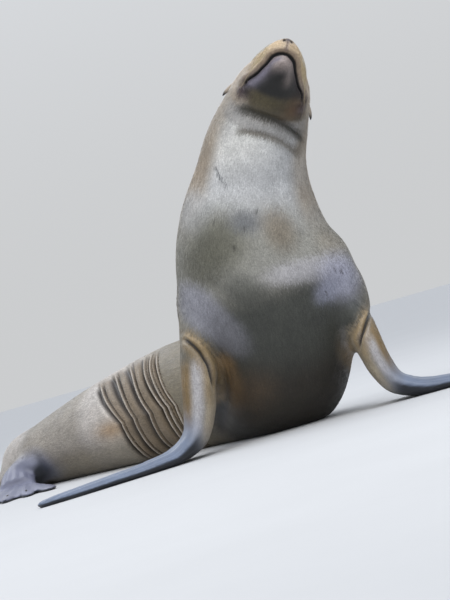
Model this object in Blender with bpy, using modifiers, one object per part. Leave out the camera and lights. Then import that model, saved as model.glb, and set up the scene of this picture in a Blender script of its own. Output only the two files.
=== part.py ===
"""Sea lion, life size, sitting upright on its foreflippers with the head raised.

Metres, +Z up.  The floor is Z = 0.  The chest faces -Y, the hind end trails away
towards -X and +Y.  The animal's own right side is towards -X.
"""
import math

import bmesh
import bpy
import numpy as np
from mathutils import Matrix, Vector

# ---------------------------------------------------------------- sizes
GAP = 0.0003                 # clearance between neighbouring pieces
VOXEL = 0.0042               # grain of the blended body
TURN_REACH = 0.050           # how gradually the cross-sections turn with the spine
BODY_TRIANGLES = 4900        # facets of the blended body before it is parted
SHIFT = Vector((0.0386, -0.4215, 0.0))   # moves the origin under the middle of the animal

NOSE = Vector((0.268, -0.172, 0.769))          # tip of the nose
HEAD_AXIS = Vector((0.430, -0.650, 0.627)).normalized()      # neck towards nose
HEAD_HINT = Vector((0.295, 0.746, 0.597))      # crown side; the head rolls to its left
HEAD_BACK = (HEAD_HINT - HEAD_AXIS * HEAD_AXIS.dot(HEAD_HINT)).normalized()
HEAD_SIDE = HEAD_AXIS.cross(HEAD_BACK)         # towards the animal's right ear

# Head girth: distance behind the nose, half width, height above and below the axis.
HEAD = [
    (0.000, 0.013, 0.010, 0.020),
    (0.012, 0.025, 0.020, 0.036),
    (0.035, 0.038, 0.029, 0.049),
    (0.070, 0.058, 0.040, 0.063),
    (0.110, 0.074, 0.054, 0.074),
    (0.150, 0.084, 0.067, 0.082),
    (0.190, 0.091, 0.078, 0.088),
]
# Neck, trunk and tail: centre, half width, back height, belly depth, belly squareness.
TRUNK = {
    "nape": ((0.168, -0.022, 0.624), 0.102, 0.088, 0.095, 2.0),
    "throat": ((0.147, 0.000, 0.589), 0.110, 0.098, 0.103, 2.0),
    "neck_top": ((0.131, 0.014, 0.549), 0.119, 0.109, 0.103, 2.0),
    "neck_low": ((0.104, 0.034, 0.471), 0.148, 0.133, 0.124, 2.0),
    "breast": ((0.090, 0.050, 0.406), 0.168, 0.148, 0.150, 2.0),
    "shoulder": ((0.095, 0.066, 0.339), 0.190, 0.156, 0.173, 2.0),
    "arm_root": ((0.094, 0.085, 0.272), 0.192, 0.158, 0.170, 2.1),
    "brisket": ((0.088, 0.118, 0.212), 0.168, 0.150, 0.168, 2.3),
    "keel": ((0.066, 0.170, 0.163), 0.155, 0.138, 0.178, 2.6),
    "ribs": ((0.024, 0.245, 0.134), 0.152, 0.128, 0.155, 2.6),
    "belly": ((-0.045, 0.330, 0.124), 0.150, 0.130, 0.136, 2.5),
    "loin": ((-0.140, 0.430, 0.120), 0.148, 0.130, 0.130, 2.4),
    "flank": ((-0.270, 0.540, 0.112), 0.138, 0.114, 0.122, 2.4),
    "hip": ((-0.400, 0.645, 0.100), 0.118, 0.091, 0.108, 2.3),
    "rump": ((-0.510, 0.730, 0.084), 0.094, 0.070, 0.090, 2.2),
    "tail_root": ((-0.600, 0.800, 0.063), 0.060, 0.058, 0.062, 2.1),
    "tail_mid": ((-0.655, 0.842, 0.040), 0.023, 0.020, 0.026, 2.0),
    "tail_end": ((-0.705, 0.880, 0.024), 0.012, 0.009, 0.012, 2.0),
}
# Foreflippers: centre, chord across the flipper, thickness.
FORE_RIGHT = [
    ((0.050, 0.110, 0.360), 0.100, 0.090),
    ((-0.010, 0.092, 0.318), 0.150, 0.130),
    ((-0.056, 0.068, 0.265), 0.180, 0.112),
    ((-0.084, 0.044, 0.208), 0.178, 0.084),
    ((-0.103, 0.022, 0.142), 0.165, 0.074),
    ((-0.118, 0.006, 0.086), 0.150, 0.066),
    ((-0.140, -0.006, 0.043), 0.146, 0.054),
    ((-0.184, -0.022, 0.019), 0.150, 0.038),
    ((-0.250, -0.056, 0.011), 0.146, 0.028),
    ((-0.325, -0.100, 0.009), 0.128, 0.023),
    ((-0.395, -0.146, 0.0075), 0.098, 0.020),
    ((-0.445, -0.182, 0.007), 0.062, 0.017),
    ((-0.472, -0.203, 0.006), 0.028, 0.013),
]
FORE_LEFT = [
    ((0.130, 0.110, 0.320), 0.100, 0.090),
    ((0.186, 0.092, 0.275), 0.150, 0.126),
    ((0.230, 0.068, 0.226), 0.175, 0.100),
    ((0.256, 0.044, 0.176), 0.170, 0.070),
    ((0.266, 0.022, 0.124), 0.158, 0.058),
    ((0.275, 0.008, 0.079), 0.148, 0.053),
    ((0.296, -0.002, 0.039), 0.146, 0.047),
    ((0.340, -0.010, 0.018), 0.150, 0.037),
    ((0.410, -0.022, 0.011), 0.146, 0.028),
    ((0.495, -0.038, 0.009), 0.128, 0.023),
    ((0.575, -0.056, 0.0075), 0.098, 0.020),
    ((0.632, -0.072, 0.007), 0.062, 0.017),
    ((0.663, -0.082, 0.006), 0.028, 0.013),
]
SHOULDERS = ((0.000, 0.095, 0.285), (0.193, 0.095, 0.242))
SHOULDER_RADII = (0.110, 0.115, 0.130)
SHOULDER_REACH = 0.25        # the arms melt into the chest inside this distance
SHOULDER_FADE = 0.12
SHOULDER_ROUNDS = 90
# Hind limbs: hip, ankle and the heading of the foot over the floor.
HIND_RIGHT = (Vector((-0.505, 0.700, 0.070)), Vector((-0.598, 0.655, 0.036)), -94.0)
HIND_LEFT = (Vector((-0.470, 0.745, 0.070)), Vector((-0.462, 0.835, 0.036)), 28.0)
TOE_SPREAD = (-25.0, -13.0, 0.0, 13.0, 25.0)
TOE_LENGTH = (0.262, 0.246, 0.236, 0.242, 0.256)
TOE_WIDTH = (0.046, 0.034, 0.032, 0.034, 0.042)
TOE_THICK = 0.020
TOE_START = 0.020            # toes begin this far past the ankle
TOE_ROUND = 0.85             # share of the toe after which its tip rounds off
HEEL = (0.055, 0.020)        # heel past the ankle, and its height
# Leg: half width and half height at hip, mid leg, ankle and heel.
LEG_GIRTH = ((0.075, 0.060), (0.058, 0.048), (0.044, 0.037), (0.048, 0.020))
WEB_REACH = 0.208            # from the ankle
WEB_LOW = -0.004
WEB_TOP = 0.0088
WEB_POINTS = 13

EYE_RADIUS = 0.0165
EYE_SPOT = (0.112, 0.0475, -0.0235)            # behind the nose, sideways, below the axis
EAR_ROOT = (0.144, 0.0740, -0.020)
EAR_TIP = (0.180, 0.0925, -0.008)
EAR_GIRTH = (0.0085, 0.0060)                   # half width and half thickness at the root
CLAW_GIRTH = (0.0028, 0.0022)
CLAW_HEIGHT = 0.0125
CLAW_RISE = 0.0015           # from root to tip
CLAW_SPAN = (0.060, 0.044)   # root and tip, back from the end of the toe

# Swellings of the muzzle: place in the head (behind the nose, sideways, below the
# axis) and radii along the head, sideways and upwards.
PADS = ((0.040, 0.0200, 0.014), (0.034, 0.0215, 0.0235))
BROWS = ((0.108, 0.036, -0.032), (0.032, 0.018, 0.017))
CHEEKS = ((0.118, 0.046, 0.020), (0.045, 0.028, 0.042))
NOSE_PAD = ((0.009, 0.0, -0.004), (0.011, 0.0170, 0.0135))
CHIN = ((0.046, 0.0, 0.043), (0.032, 0.026, 0.019))

# Where the body is parted.
HEAD_LENGTH = 0.218          # neck plane behind the nose
MOUTH_DEPTH = 0.0360         # mouth line below the head axis at the lips
MOUTH_SLOPE = 0.10           # fall of the mouth line towards the jaw hinge
JAW_LENGTH = 0.138           # jaw hinge behind the nose
NECK_CUT = (Vector((0.105, 0.040, 0.452)), (0.06, -0.12, 1.0))
ARMPIT_RIGHT = (-0.083, 0.170)                 # X and Z where the free forearm begins
ARMPIT_LEFT = (0.236, 0.142)
ARM_FRONT = -0.51            # Y range of the forearm blocks
ARM_BEHIND = 0.11
WRIST_RIGHT = -0.172         # X where the flipper begins
WRIST_LEFT = 0.330
FOOT_CUT = 0.040             # past the ankle
FOOT_BLOCK = (0.104, 0.4, 0.3)
FOOT_FLARE = 3.2             # the block widens with the fan of toes
TRUNK_CUTS = {
    "tail": ((-0.622, 0.817), (-0.79, 0.61, 0.0)),
    "hips": ((-0.345, 0.600), (-0.77, 0.64, 0.0)),
    "abdomen": ((-0.005, 0.285), (-0.66, 0.75, 0.0)),
}

# Colours (linear) and roughness of the finishes.
SKIN = (0.115, 0.098, 0.078)
BARE = (0.085, 0.088, 0.100)
JAW = (0.110, 0.100, 0.095)
EAR = (0.060, 0.048, 0.038)
EYE = (0.012, 0.008, 0.006)
CLAW = (0.030, 0.026, 0.022)
DULL = 0.45
GLOSSY = 0.08


# ---------------------------------------------------------------- shape helpers
def head_point(back, side, below):
    """A point in the head: behind the nose, towards the right ear, below the axis."""
    return NOSE - HEAD_AXIS * back + HEAD_SIDE * side - HEAD_BACK * below


def spline(knots, values, places):
    """Smooth curve through values at the knots, read at the places."""
    knots = np.asarray(knots, float)
    values = np.asarray(values, float)
    places = np.asarray(places, float)
    step = np.diff(knots)
    slope = np.diff(values, axis=0) / step.reshape((-1,) + (1,) * (values.ndim - 1))
    tangent = np.empty_like(values)
    tangent[0] = slope[0]
    tangent[-1] = slope[-1]
    weight = (step[1:] / (step[1:] + step[:-1])).reshape((-1,) + (1,) * (values.ndim - 1))
    tangent[1:-1] = weight * slope[:-1] + (1.0 - weight) * slope[1:]
    index = np.clip(np.searchsorted(knots, places, side="right") - 1, 0, len(step) - 1)
    width = step[index]
    u = (places - knots[index]) / width
    shape = (-1,) + (1,) * (values.ndim - 1)
    u = u.reshape(shape)
    width = width.reshape(shape)
    start = (2 * u ** 3 - 3 * u ** 2 + 1) * values[index]
    start_slope = (u ** 3 - 2 * u ** 2 + u) * width * tangent[index]
    stop = (3 * u ** 2 - 2 * u ** 3) * values[index + 1]
    stop_slope = (u ** 3 - u ** 2) * width * tangent[index + 1]
    return start + start_slope + stop + stop_slope


def unit(rows):
    return rows / np.linalg.norm(rows, axis=-1, keepdims=True)


def blur(places, rows, reach):
    """Average the rows over their neighbours along the line."""
    gap = places[:, None] - places[None, :]
    weight = np.exp(-0.5 * (gap / reach) ** 2)
    return weight @ rows / weight.sum(axis=1, keepdims=True)


def add_mesh(name, points, faces, collection):
    mesh = bpy.data.meshes.new(name)
    mesh.from_pydata([tuple(p) for p in points], [], faces)
    mesh.update()
    item = bpy.data.objects.new(name, mesh)
    collection.objects.link(item)
    fix = bmesh.new()
    fix.from_mesh(mesh)
    bmesh.ops.remove_doubles(fix, verts=fix.verts, dist=0.00005)
    bmesh.ops.recalc_face_normals(fix, faces=fix.faces)
    fix.to_mesh(mesh)
    fix.free()
    return item


def loft(name, rings, collection):
    """Closed skin over a row of rings with a point at either end."""
    count = len(rings[0])
    points = [rings[0].mean(axis=0)]
    for ring in rings:
        points.extend(ring)
    points.append(rings[-1].mean(axis=0))
    faces = []
    for k in range(count):
        faces.append((0, 1 + (k + 1) % count, 1 + k))
    for row in range(len(rings) - 1):
        low = 1 + row * count
        for k in range(count):
            nxt = (k + 1) % count
            faces.append((low + k, low + nxt, low + count + nxt, low + count + k))
    last = 1 + (len(rings) - 1) * count
    for k in range(count):
        faces.append((len(points) - 1, last + k, last + (k + 1) % count))
    return add_mesh(name, points, faces, collection)


def ellipsoid(name, centre, radii, axes, collection, rows=16):
    """Ellipsoid with its three radii along the three given axes."""
    rings = []
    for row in range(1, rows):
        polar = math.pi * row / rows
        around = np.linspace(0, 2 * math.pi, rows + rows // 2, endpoint=False)
        ring = (
            np.array(centre)
            + np.array(axes[0]) * radii[0] * math.cos(polar)
            + np.outer(np.cos(around), axes[1]) * radii[1] * math.sin(polar)
            + np.outer(np.sin(around), axes[2]) * radii[2] * math.sin(polar)
        )
        rings.append(ring)
    return loft(name, rings, collection)


# ---------------------------------------------------------------- body, limbs, feet
def trunk_stations():
    """Centre, half width, back height and belly depth from nose to tail."""
    rows = []
    for back, wide, up, down in HEAD:
        centre = NOSE - HEAD_AXIS * back
        rows.append((*centre, wide, up, down, 2.0))
    for centre, wide, up, down, square in TRUNK.values():
        rows.append((*centre, wide, up, down, square))
    return np.array(rows)


def trunk_rings(count, around):
    """Cross-sections of head, neck, trunk and tail."""
    rows = trunk_stations()
    travel = np.linalg.norm(np.diff(rows[:, :3], axis=0), axis=1)
    knots = np.concatenate([[0.0], np.cumsum(travel)])
    places = np.linspace(0.0, knots[-1], count)
    data = spline(knots, rows, places)
    centre = data[:, :3]
    tangent = unit(blur(places, unit(np.gradient(centre, places, axis=0)), TURN_REACH))
    # The back turns from behind the head to straight up along the rump.
    back_hint = spline(
        [0.0, 0.20, 0.30, 0.60, 0.80, 0.95, knots[-1]],
        [tuple(HEAD_BACK), tuple(HEAD_BACK), (0.1, 0.98, 0.1), (-0.1, 0.95, 0.2),
         (-0.2, 0.6, 0.7), (0.0, 0.0, 1.0), (0.0, 0.0, 1.0)],
        places,
    )
    along = np.sum(back_hint * tangent, axis=1, keepdims=True)
    back = unit(back_hint - along * tangent)
    side = np.cross(tangent, back)
    angle = np.linspace(0.0, 2.0 * math.pi, around, endpoint=False)
    rings = []
    for k in range(count):
        wide, up, down, square = data[k, 3:7]
        power = np.where(np.cos(angle) > 0, 1.0, 2.0 / square)
        height = np.where(np.cos(angle) > 0, up, down)
        rise = np.sign(np.cos(angle)) * np.abs(np.cos(angle)) ** power
        reach = np.sign(np.sin(angle)) * np.abs(np.sin(angle)) ** power
        ring = (
            centre[k]
            + np.outer(rise * height, back[k])
            + np.outer(reach * wide, side[k])
        )
        rings.append(ring)
    return rings


def fore_rings(stations, count, around):
    """Arm and flipper: thick leading edge, thin trailing edge, flat on the floor."""
    rows = np.array([(*centre, chord, thick) for centre, chord, thick in stations])
    travel = np.linalg.norm(np.diff(rows[:, :3], axis=0), axis=1)
    knots = np.concatenate([[0.0], np.cumsum(travel)])
    places = np.linspace(0.0, knots[-1], count)
    data = spline(knots, rows, places)
    centre = data[:, :3]
    tangent = unit(np.gradient(centre, places, axis=0))
    behind = np.tile(np.array([0.0, 1.0, 0.0]), (count, 1))
    chord_way = unit(behind - np.sum(behind * tangent, axis=1, keepdims=True) * tangent)
    normal = np.cross(tangent, chord_way)
    angle = np.linspace(0.0, 2.0 * math.pi, around, endpoint=False)
    rings = []
    for k in range(count):
        chord, thick = data[k, 3:5]
        flat = min(1.0, max(0.0, 1.0 - (thick - 0.05) / 0.05))
        lean = 0.45 * flat
        along = np.cos(angle)
        body = np.sin(angle) * (1.0 - lean * along)
        ring = (
            centre[k]
            + np.outer(along * chord / 2, chord_way[k])
            + np.outer(body * thick / 2, normal[k])
        )
        rings.append(ring)
    return rings


def toe_line(ankle, heading, index):
    """Start, end and sideways direction of one toe, on the floor."""
    turn = math.radians(heading + TOE_SPREAD[index])
    way = Vector((math.cos(turn), math.sin(turn), 0.0))
    across = Vector((-way.y, way.x, 0.0))
    start = Vector((ankle.x, ankle.y, 0.0)) + way * TOE_START
    return start, start + way * TOE_LENGTH[index], across


def foot_parts(tag, limb, collection):
    """Leg, toes and the web between them, as overlapping solids."""
    hip, ankle, heading = limb
    parts = []
    way = Vector((math.cos(math.radians(heading)), math.sin(math.radians(heading)), 0.0))
    heel = ankle + way * HEEL[0]
    heel.z = HEEL[1]
    line = np.array([tuple(hip), tuple((hip + ankle) / 2), tuple(ankle), tuple(heel)])
    places = np.linspace(0.0, 3.0, 19)
    centre = spline([0, 1, 2, 3], line, places)
    girth = spline([0, 1, 2, 3], LEG_GIRTH, places)
    tangent = unit(np.gradient(centre, places, axis=0))
    upward = np.tile(np.array([0.0, 0.0, 1.0]), (len(places), 1))
    up = unit(upward - np.sum(upward * tangent, axis=1, keepdims=True) * tangent)
    side = np.cross(tangent, up)
    angle = np.linspace(0.0, 2.0 * math.pi, 20, endpoint=False)
    rings = []
    for k in range(len(places)):
        ring = (
            centre[k]
            + np.outer(np.cos(angle) * girth[k, 1], up[k])
            + np.outer(np.sin(angle) * girth[k, 0], side[k])
        )
        rings.append(ring)
    parts.append(loft("leg_" + tag, rings, collection))
    for index in range(5):
        start, stop, across = toe_line(ankle, heading, index)
        rings = []
        for place in np.linspace(0.0, 1.0, 15):
            wide = TOE_WIDTH[index] / 2 * (0.85 + 0.35 * place)
            thick = TOE_THICK / 2 * (1.5 - 0.95 * place)
            if place > TOE_ROUND:
                end = (place - TOE_ROUND) / (1.0 - TOE_ROUND)
                wide *= math.sqrt(max(0.05, 1.0 - end ** 2))
            middle = start.lerp(stop, place)
            lift = thick * 0.80
            around = np.linspace(0.0, 2.0 * math.pi, 16, endpoint=False)
            ring = (
                np.array([middle.x, middle.y, lift])
                + np.outer(np.cos(around), tuple(across)) * wide
                + np.outer(np.sin(around), (0.0, 0.0, 1.0)) * thick
            )
            rings.append(ring)
        parts.append(loft("toe_%s_%d" % (tag, index + 1), rings, collection))
    # Web: a thin fan from the heel to just short of the toe tips.
    fan = []
    spread = np.radians(np.linspace(TOE_SPREAD[0], TOE_SPREAD[-1], WEB_POINTS) + heading)
    for turn in spread:
        x = ankle.x + math.cos(turn) * WEB_REACH
        y = ankle.y + math.sin(turn) * WEB_REACH
        fan.append((x, y))
    fan.append((ankle.x, ankle.y))
    count = len(fan)
    points = [(x, y, WEB_LOW) for x, y in fan] + [(x, y, WEB_TOP) for x, y in fan]
    faces = [tuple(range(count - 1, -1, -1)), tuple(range(count, 2 * count))]
    for k in range(count):
        nxt = (k + 1) % count
        faces.append((k, nxt, count + nxt, count + k))
    parts.append(add_mesh("web_" + tag, points, faces, collection))
    return parts


def muzzle_parts(collection):
    """Whisker pads, chin, nose pad, brows and cheeks that swell out of the head."""
    axes = (tuple(HEAD_AXIS), tuple(HEAD_SIDE), tuple(HEAD_BACK))
    parts = []
    for name, (spot, radii) in (("pad", PADS), ("brow", BROWS), ("cheek", CHEEKS)):
        back, side, below = spot
        for sign in (-1, 1):
            centre = head_point(back, sign * side, below)
            parts.append(ellipsoid(name, centre, radii, axes, collection))
    for name, (spot, radii) in (("nose", NOSE_PAD), ("chin", CHIN)):
        parts.append(ellipsoid(name, head_point(*spot), radii, axes, collection))
    return parts


def horn(name, root, tip, girth, grow, upward, collection):
    """Blunt cone from a root to a tip, made thicker all over by the given growth."""
    way = np.array(tip - root)
    along = way / np.linalg.norm(way)
    out = np.cross(along, tuple(upward))
    out = out / np.linalg.norm(out)
    flat = np.cross(along, out)
    angle = np.linspace(0.0, 2.0 * math.pi, 8, endpoint=False)
    rings = []
    for place in (0.0, 0.4, 0.8, 1.0):
        taper = math.sqrt(max(0.08, 1.0 - place ** 2))
        middle = np.array(root) + way * place - along * grow * (1.0 - 2.0 * place)
        ring = (
            middle
            + np.outer(np.cos(angle) * (girth[0] * taper + grow), out)
            + np.outer(np.sin(angle) * (girth[1] * taper + grow), flat)
        )
        rings.append(ring)
    return loft(name, rings, collection)


# ---------------------------------------------------------------- modifiers and cuts
def apply_modifier(item, kind, **settings):
    modifier = item.modifiers.new(kind.title(), kind)
    for key, value in settings.items():
        setattr(modifier, key, value)
    graph = bpy.context.evaluated_depsgraph_get()
    mesh = bpy.data.meshes.new_from_object(item.evaluated_get(graph))
    item.modifiers.clear()
    old = item.data
    item.data = mesh
    bpy.data.meshes.remove(old)


def combine(items, name):
    """One mesh holding all the shells."""
    merged = bmesh.new()
    for item in items:
        merged.from_mesh(item.data)
    mesh = bpy.data.meshes.new(name)
    merged.to_mesh(mesh)
    merged.free()
    collection = items[0].users_collection[0]
    for item in items:
        bpy.data.objects.remove(item)
    result = bpy.data.objects.new(name, mesh)
    collection.objects.link(result)
    return result


def block(name, centre, size, turn, collection, flare=1.0):
    """Cutter block: centre, full size, rotation and how much the far end widens."""
    work = bmesh.new()
    bmesh.ops.create_cube(work, size=1.0)
    for vert in work.verts:
        if vert.co.z > 0.0:
            vert.co.x *= flare
    place = Matrix.Translation(centre) @ turn.to_4x4() @ Matrix.Diagonal((*size, 1.0))
    work.transform(place)
    mesh = bpy.data.meshes.new(name)
    work.to_mesh(mesh)
    work.free()
    item = bpy.data.objects.new(name, mesh)
    collection.objects.link(item)
    return item


def boolean(item, cutter, operation):
    apply_modifier(item, "BOOLEAN", operation=operation, object=cutter, solver="EXACT")


def copy_object(item, name, collection):
    twin = bpy.data.objects.new(name, item.data.copy())
    collection.objects.link(twin)
    return twin


def carve(rest, name, centre, size, turn, parts, cutters, flare=1.0):
    """Take the piece inside a block off the rest, leaving the clearance between them."""
    inner = block("cut_" + name, centre, size, turn, cutters, flare)
    outer_size = [edge + 2 * GAP for edge in size]
    outer = block("room_" + name, centre, outer_size, turn, cutters, flare)
    piece = copy_object(rest, name, parts)
    boolean(piece, inner, "INTERSECT")
    boolean(rest, outer, "DIFFERENCE")
    keep_largest(piece)
    keep_largest(rest)
    return piece


def keep_largest(item):
    """Drop crumbs that a cut leaves beside the main shell."""
    work = bmesh.new()
    work.from_mesh(item.data)
    seen = set()
    groups = []
    for vert in work.verts:
        if vert in seen:
            continue
        stack = [vert]
        group = []
        seen.add(vert)
        while stack:
            here = stack.pop()
            group.append(here)
            for edge in here.link_edges:
                other = edge.other_vert(here)
                if other not in seen:
                    seen.add(other)
                    stack.append(other)
        groups.append(group)
    groups.sort(key=len, reverse=True)
    crumbs = [vert for group in groups[1:] for vert in group]
    if crumbs:
        bmesh.ops.delete(work, geom=crumbs, context="VERTS")
    bmesh.ops.dissolve_degenerate(work, edges=work.edges, dist=0.00005)
    bmesh.ops.triangulate(work, faces=work.faces)
    work.to_mesh(item.data)
    work.free()


def turn_to(direction, hint=(0.0, 0.0, 1.0)):
    """Rotation whose local Z is the direction and local X is square to the hint."""
    z_axis = Vector(direction).normalized()
    x_axis = Vector(hint).cross(z_axis).normalized()
    y_axis = z_axis.cross(x_axis)
    return Matrix((x_axis, y_axis, z_axis)).transposed()


def paint(item, name, colour, roughness):
    material = bpy.data.materials.new(name)
    material.use_nodes = True
    shader = material.node_tree.nodes["Principled BSDF"]
    shader.inputs["Base Color"].default_value = (*colour, 1.0)
    shader.inputs["Roughness"].default_value = roughness
    shader.inputs["Metallic"].default_value = 0.0
    item.data.materials.clear()
    item.data.materials.append(material)


# ---------------------------------------------------------------- build
def soften_shoulders(body):
    """Melt the upper arms into the chest."""
    group = body.vertex_groups.new(name="shoulders")
    for vert in body.data.vertices:
        place = vert.co
        weight = 0.0
        for spot in SHOULDERS:
            distance = (place - Vector(spot)).length
            near = (SHOULDER_REACH - distance) / SHOULDER_FADE
            weight = max(weight, min(1.0, max(0.0, near)))
        if weight > 0.0:
            group.add([vert.index], weight, "REPLACE")
    apply_modifier(
        body, "SMOOTH", factor=0.5, iterations=SHOULDER_ROUNDS, vertex_group="shoulders"
    )


def blended_body(work):
    shells = [loft("trunk", trunk_rings(110, 48), work)]
    shells.append(loft("fore_right", fore_rings(FORE_RIGHT, 60, 32), work))
    shells.append(loft("fore_left", fore_rings(FORE_LEFT, 60, 32), work))
    shells.extend(muzzle_parts(work))
    shells.extend(foot_parts("right", HIND_RIGHT, work))
    shells.extend(foot_parts("left", HIND_LEFT, work))
    shoulder_axes = ((1.0, 0.0, 0.0), (0.0, 1.0, 0.0), (0.0, 0.0, 1.0))
    for spot in SHOULDERS:
        shells.append(ellipsoid("shoulder", spot, SHOULDER_RADII, shoulder_axes, work))
    body = combine(shells, "body")
    apply_modifier(body, "REMESH", mode="VOXEL", voxel_size=VOXEL, adaptivity=0.0)
    soften_shoulders(body)
    apply_modifier(body, "SMOOTH", factor=0.5, iterations=4)
    total = sum(len(face.vertices) - 2 for face in body.data.polygons)
    apply_modifier(body, "DECIMATE", ratio=BODY_TRIANGLES / total)
    floor = block("floor_cut", Vector((0, 0.4, -0.5)), (4.0, 4.0, 1.0), Matrix.Identity(3), work)
    boolean(body, floor, "DIFFERENCE")
    keep_largest(body)
    return body


def main():
    for item in list(bpy.data.objects):
        bpy.data.objects.remove(item)
    scene = bpy.context.scene
    parts = bpy.data.collections.new("sea_lion")
    cutters = bpy.data.collections.new("cutters")
    scene.collection.children.link(parts)
    scene.collection.children.link(cutters)

    rest = blended_body(cutters)
    straight = Matrix.Identity(3)
    head_turn = Matrix((HEAD_BACK, HEAD_SIDE, HEAD_AXIS)).transposed()
    pieces = {}

    # Head with the neck plane behind the ears, then the jaw out of the head.
    cube = (0.5, 0.5, 0.5)
    centre = head_point(HEAD_LENGTH - cube[2] / 2, 0.0, 0.0)
    pieces["head"] = carve(rest, "head", centre, cube, head_turn, parts, cutters)
    slab = (0.4, 0.5, 0.5)
    jaw_turn = Matrix.Rotation(math.atan(MOUTH_SLOPE), 3, HEAD_SIDE) @ head_turn
    hinge = head_point(JAW_LENGTH, 0.0, MOUTH_DEPTH + MOUTH_SLOPE * JAW_LENGTH)
    centre = hinge - jaw_turn.col[0] * slab[0] / 2 + jaw_turn.col[2] * slab[2] / 2
    pieces["jaw"] = carve(pieces["head"], "jaw", centre, slab, jaw_turn, parts, cutters)

    # Neck above the breast.
    wide = (0.8, 0.8, 0.5)
    spot, heading = NECK_CUT
    neck_turn = turn_to(heading, (0.0, 1.0, 0.0))
    centre = spot + neck_turn.col[2] * wide[2] / 2
    pieces["neck"] = carve(rest, "neck", centre, wide, neck_turn, parts, cutters)

    # Forelimbs: forearm below the armpit, flipper beyond the wrist.
    arm_size = (0.8, ARM_BEHIND - ARM_FRONT, 0.5)
    arm_y = (ARM_FRONT + ARM_BEHIND) / 2
    for side, sign, armpit, wrist in (
        ("right", -1, ARMPIT_RIGHT, WRIST_RIGHT),
        ("left", 1, ARMPIT_LEFT, WRIST_LEFT),
    ):
        centre = Vector((armpit[0] + sign * wide[0] / 2, arm_y, armpit[1] - arm_size[2] / 2))
        name = "forearm_" + side
        arm = carve(rest, name, centre, arm_size, straight, parts, cutters)
        pieces[name] = arm
        centre = Vector((wrist + sign * wide[0] / 2, arm_y, 0.0))
        name = "foreflipper_" + side
        pieces[name] = carve(arm, name, centre, wide, straight, parts, cutters)

    # Hind limbs off the hips: the foot beyond each ankle.
    for side, limb in (("right", HIND_RIGHT), ("left", HIND_LEFT)):
        hip, ankle, heading = limb
        turn = math.radians(heading)
        way = Vector((math.cos(turn), math.sin(turn), 0.0))
        name = "hind_flipper_" + side
        middle = Vector((ankle.x, ankle.y, 0.1)) + way * (FOOT_CUT + FOOT_BLOCK[2] / 2)
        pieces[name] = carve(
            rest, name, middle, FOOT_BLOCK, turn_to(way), parts, cutters, flare=FOOT_FLARE
        )

    # Trunk: tail, hips, abdomen and chest.
    trunk_size = (0.72, 0.8, 0.8)
    for name, (spot, heading) in TRUNK_CUTS.items():
        way = Vector(heading).normalized()
        centre = Vector((*spot, 0.1)) + way * trunk_size[2] / 2
        pieces[name] = carve(rest, name, centre, trunk_size, turn_to(way), parts, cutters)
    rest.name = "chest"
    pieces["chest"] = rest
    cutters.objects.unlink(rest)
    parts.objects.link(rest)

    for side, sign in (("right", 1), ("left", -1)):
        # Eye: a ball in a close socket.
        spot = head_point(EYE_SPOT[0], sign * EYE_SPOT[1], EYE_SPOT[2])
        axes = (tuple(HEAD_AXIS), tuple(HEAD_SIDE), tuple(HEAD_BACK))
        room = ellipsoid("room_eye", spot, [EYE_RADIUS + GAP] * 3, axes, cutters, rows=10)
        boolean(pieces["head"], room, "DIFFERENCE")
        eye = ellipsoid("eye_" + side, spot, [EYE_RADIUS - GAP] * 3, axes, parts, rows=10)
        pieces["eye_" + side] = eye
        # Ear: a small cone lying back along the head, in a close notch.
        root = head_point(EAR_ROOT[0], sign * EAR_ROOT[1], EAR_ROOT[2])
        tip = head_point(EAR_TIP[0], sign * EAR_TIP[1], EAR_TIP[2])
        room = horn("room_ear", root, tip, EAR_GIRTH, GAP, HEAD_BACK, cutters)
        boolean(pieces["head"], room, "DIFFERENCE")
        pieces["ear_" + side] = horn("ear_" + side, root, tip, EAR_GIRTH, 0.0, HEAD_BACK, parts)
    for side, limb in (("right", HIND_RIGHT), ("left", HIND_LEFT)):
        # Claws of the three middle toes, lying on the flipper short of its edge.
        hip, ankle, heading = limb
        for index in (1, 2, 3):
            start, stop, across = toe_line(ankle, heading, index)
            way = (stop - start).normalized()
            root = stop - way * CLAW_SPAN[0]
            root.z = CLAW_HEIGHT
            tip = stop - way * CLAW_SPAN[1]
            tip.z = CLAW_HEIGHT + CLAW_RISE
            room = horn("room_claw", root, tip, CLAW_GIRTH, GAP, (0.0, 0.0, 1.0), cutters)
            boolean(pieces["hind_flipper_" + side], room, "DIFFERENCE")
            name = "claw_%s_%d" % (side, index + 1)
            pieces[name] = horn(name, root, tip, CLAW_GIRTH, 0.0, (0.0, 0.0, 1.0), parts)
        keep_largest(pieces["hind_flipper_" + side])
    keep_largest(pieces["head"])

    colours = {"jaw": JAW}
    for name, item in pieces.items():
        item.name = name
        item.data.name = name
        if "flipper" in name:
            colours[name] = BARE
        elif name.startswith("ear"):
            colours[name] = EAR
        elif name.startswith("eye"):
            colours[name] = EYE
        elif name.startswith("claw"):
            colours[name] = CLAW
        roughness = GLOSSY if name.startswith("eye") else DULL
        paint(item, name, colours.get(name, SKIN), roughness)
        item.data.transform(Matrix.Translation(SHIFT))
        for face in item.data.polygons:
            face.use_smooth = True
    for item in cutters.objects:
        item.data.transform(Matrix.Translation(SHIFT))
        item.hide_render = True
        item.display_type = "WIRE"


main()
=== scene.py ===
"""Looks of the sea lion: one short-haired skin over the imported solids, with its eyes,
ears, claws, whiskers and tufts of coat.

Metres, +Z up, in the frame's own places.  The chest faces -Y and the animal's own
right side is towards -X.
"""
import math

import bmesh
import bpy
import numpy as np
from mathutils import Matrix, Vector
from mathutils.bvhtree import BVHTree
from mathutils.kdtree import KDTree


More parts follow.
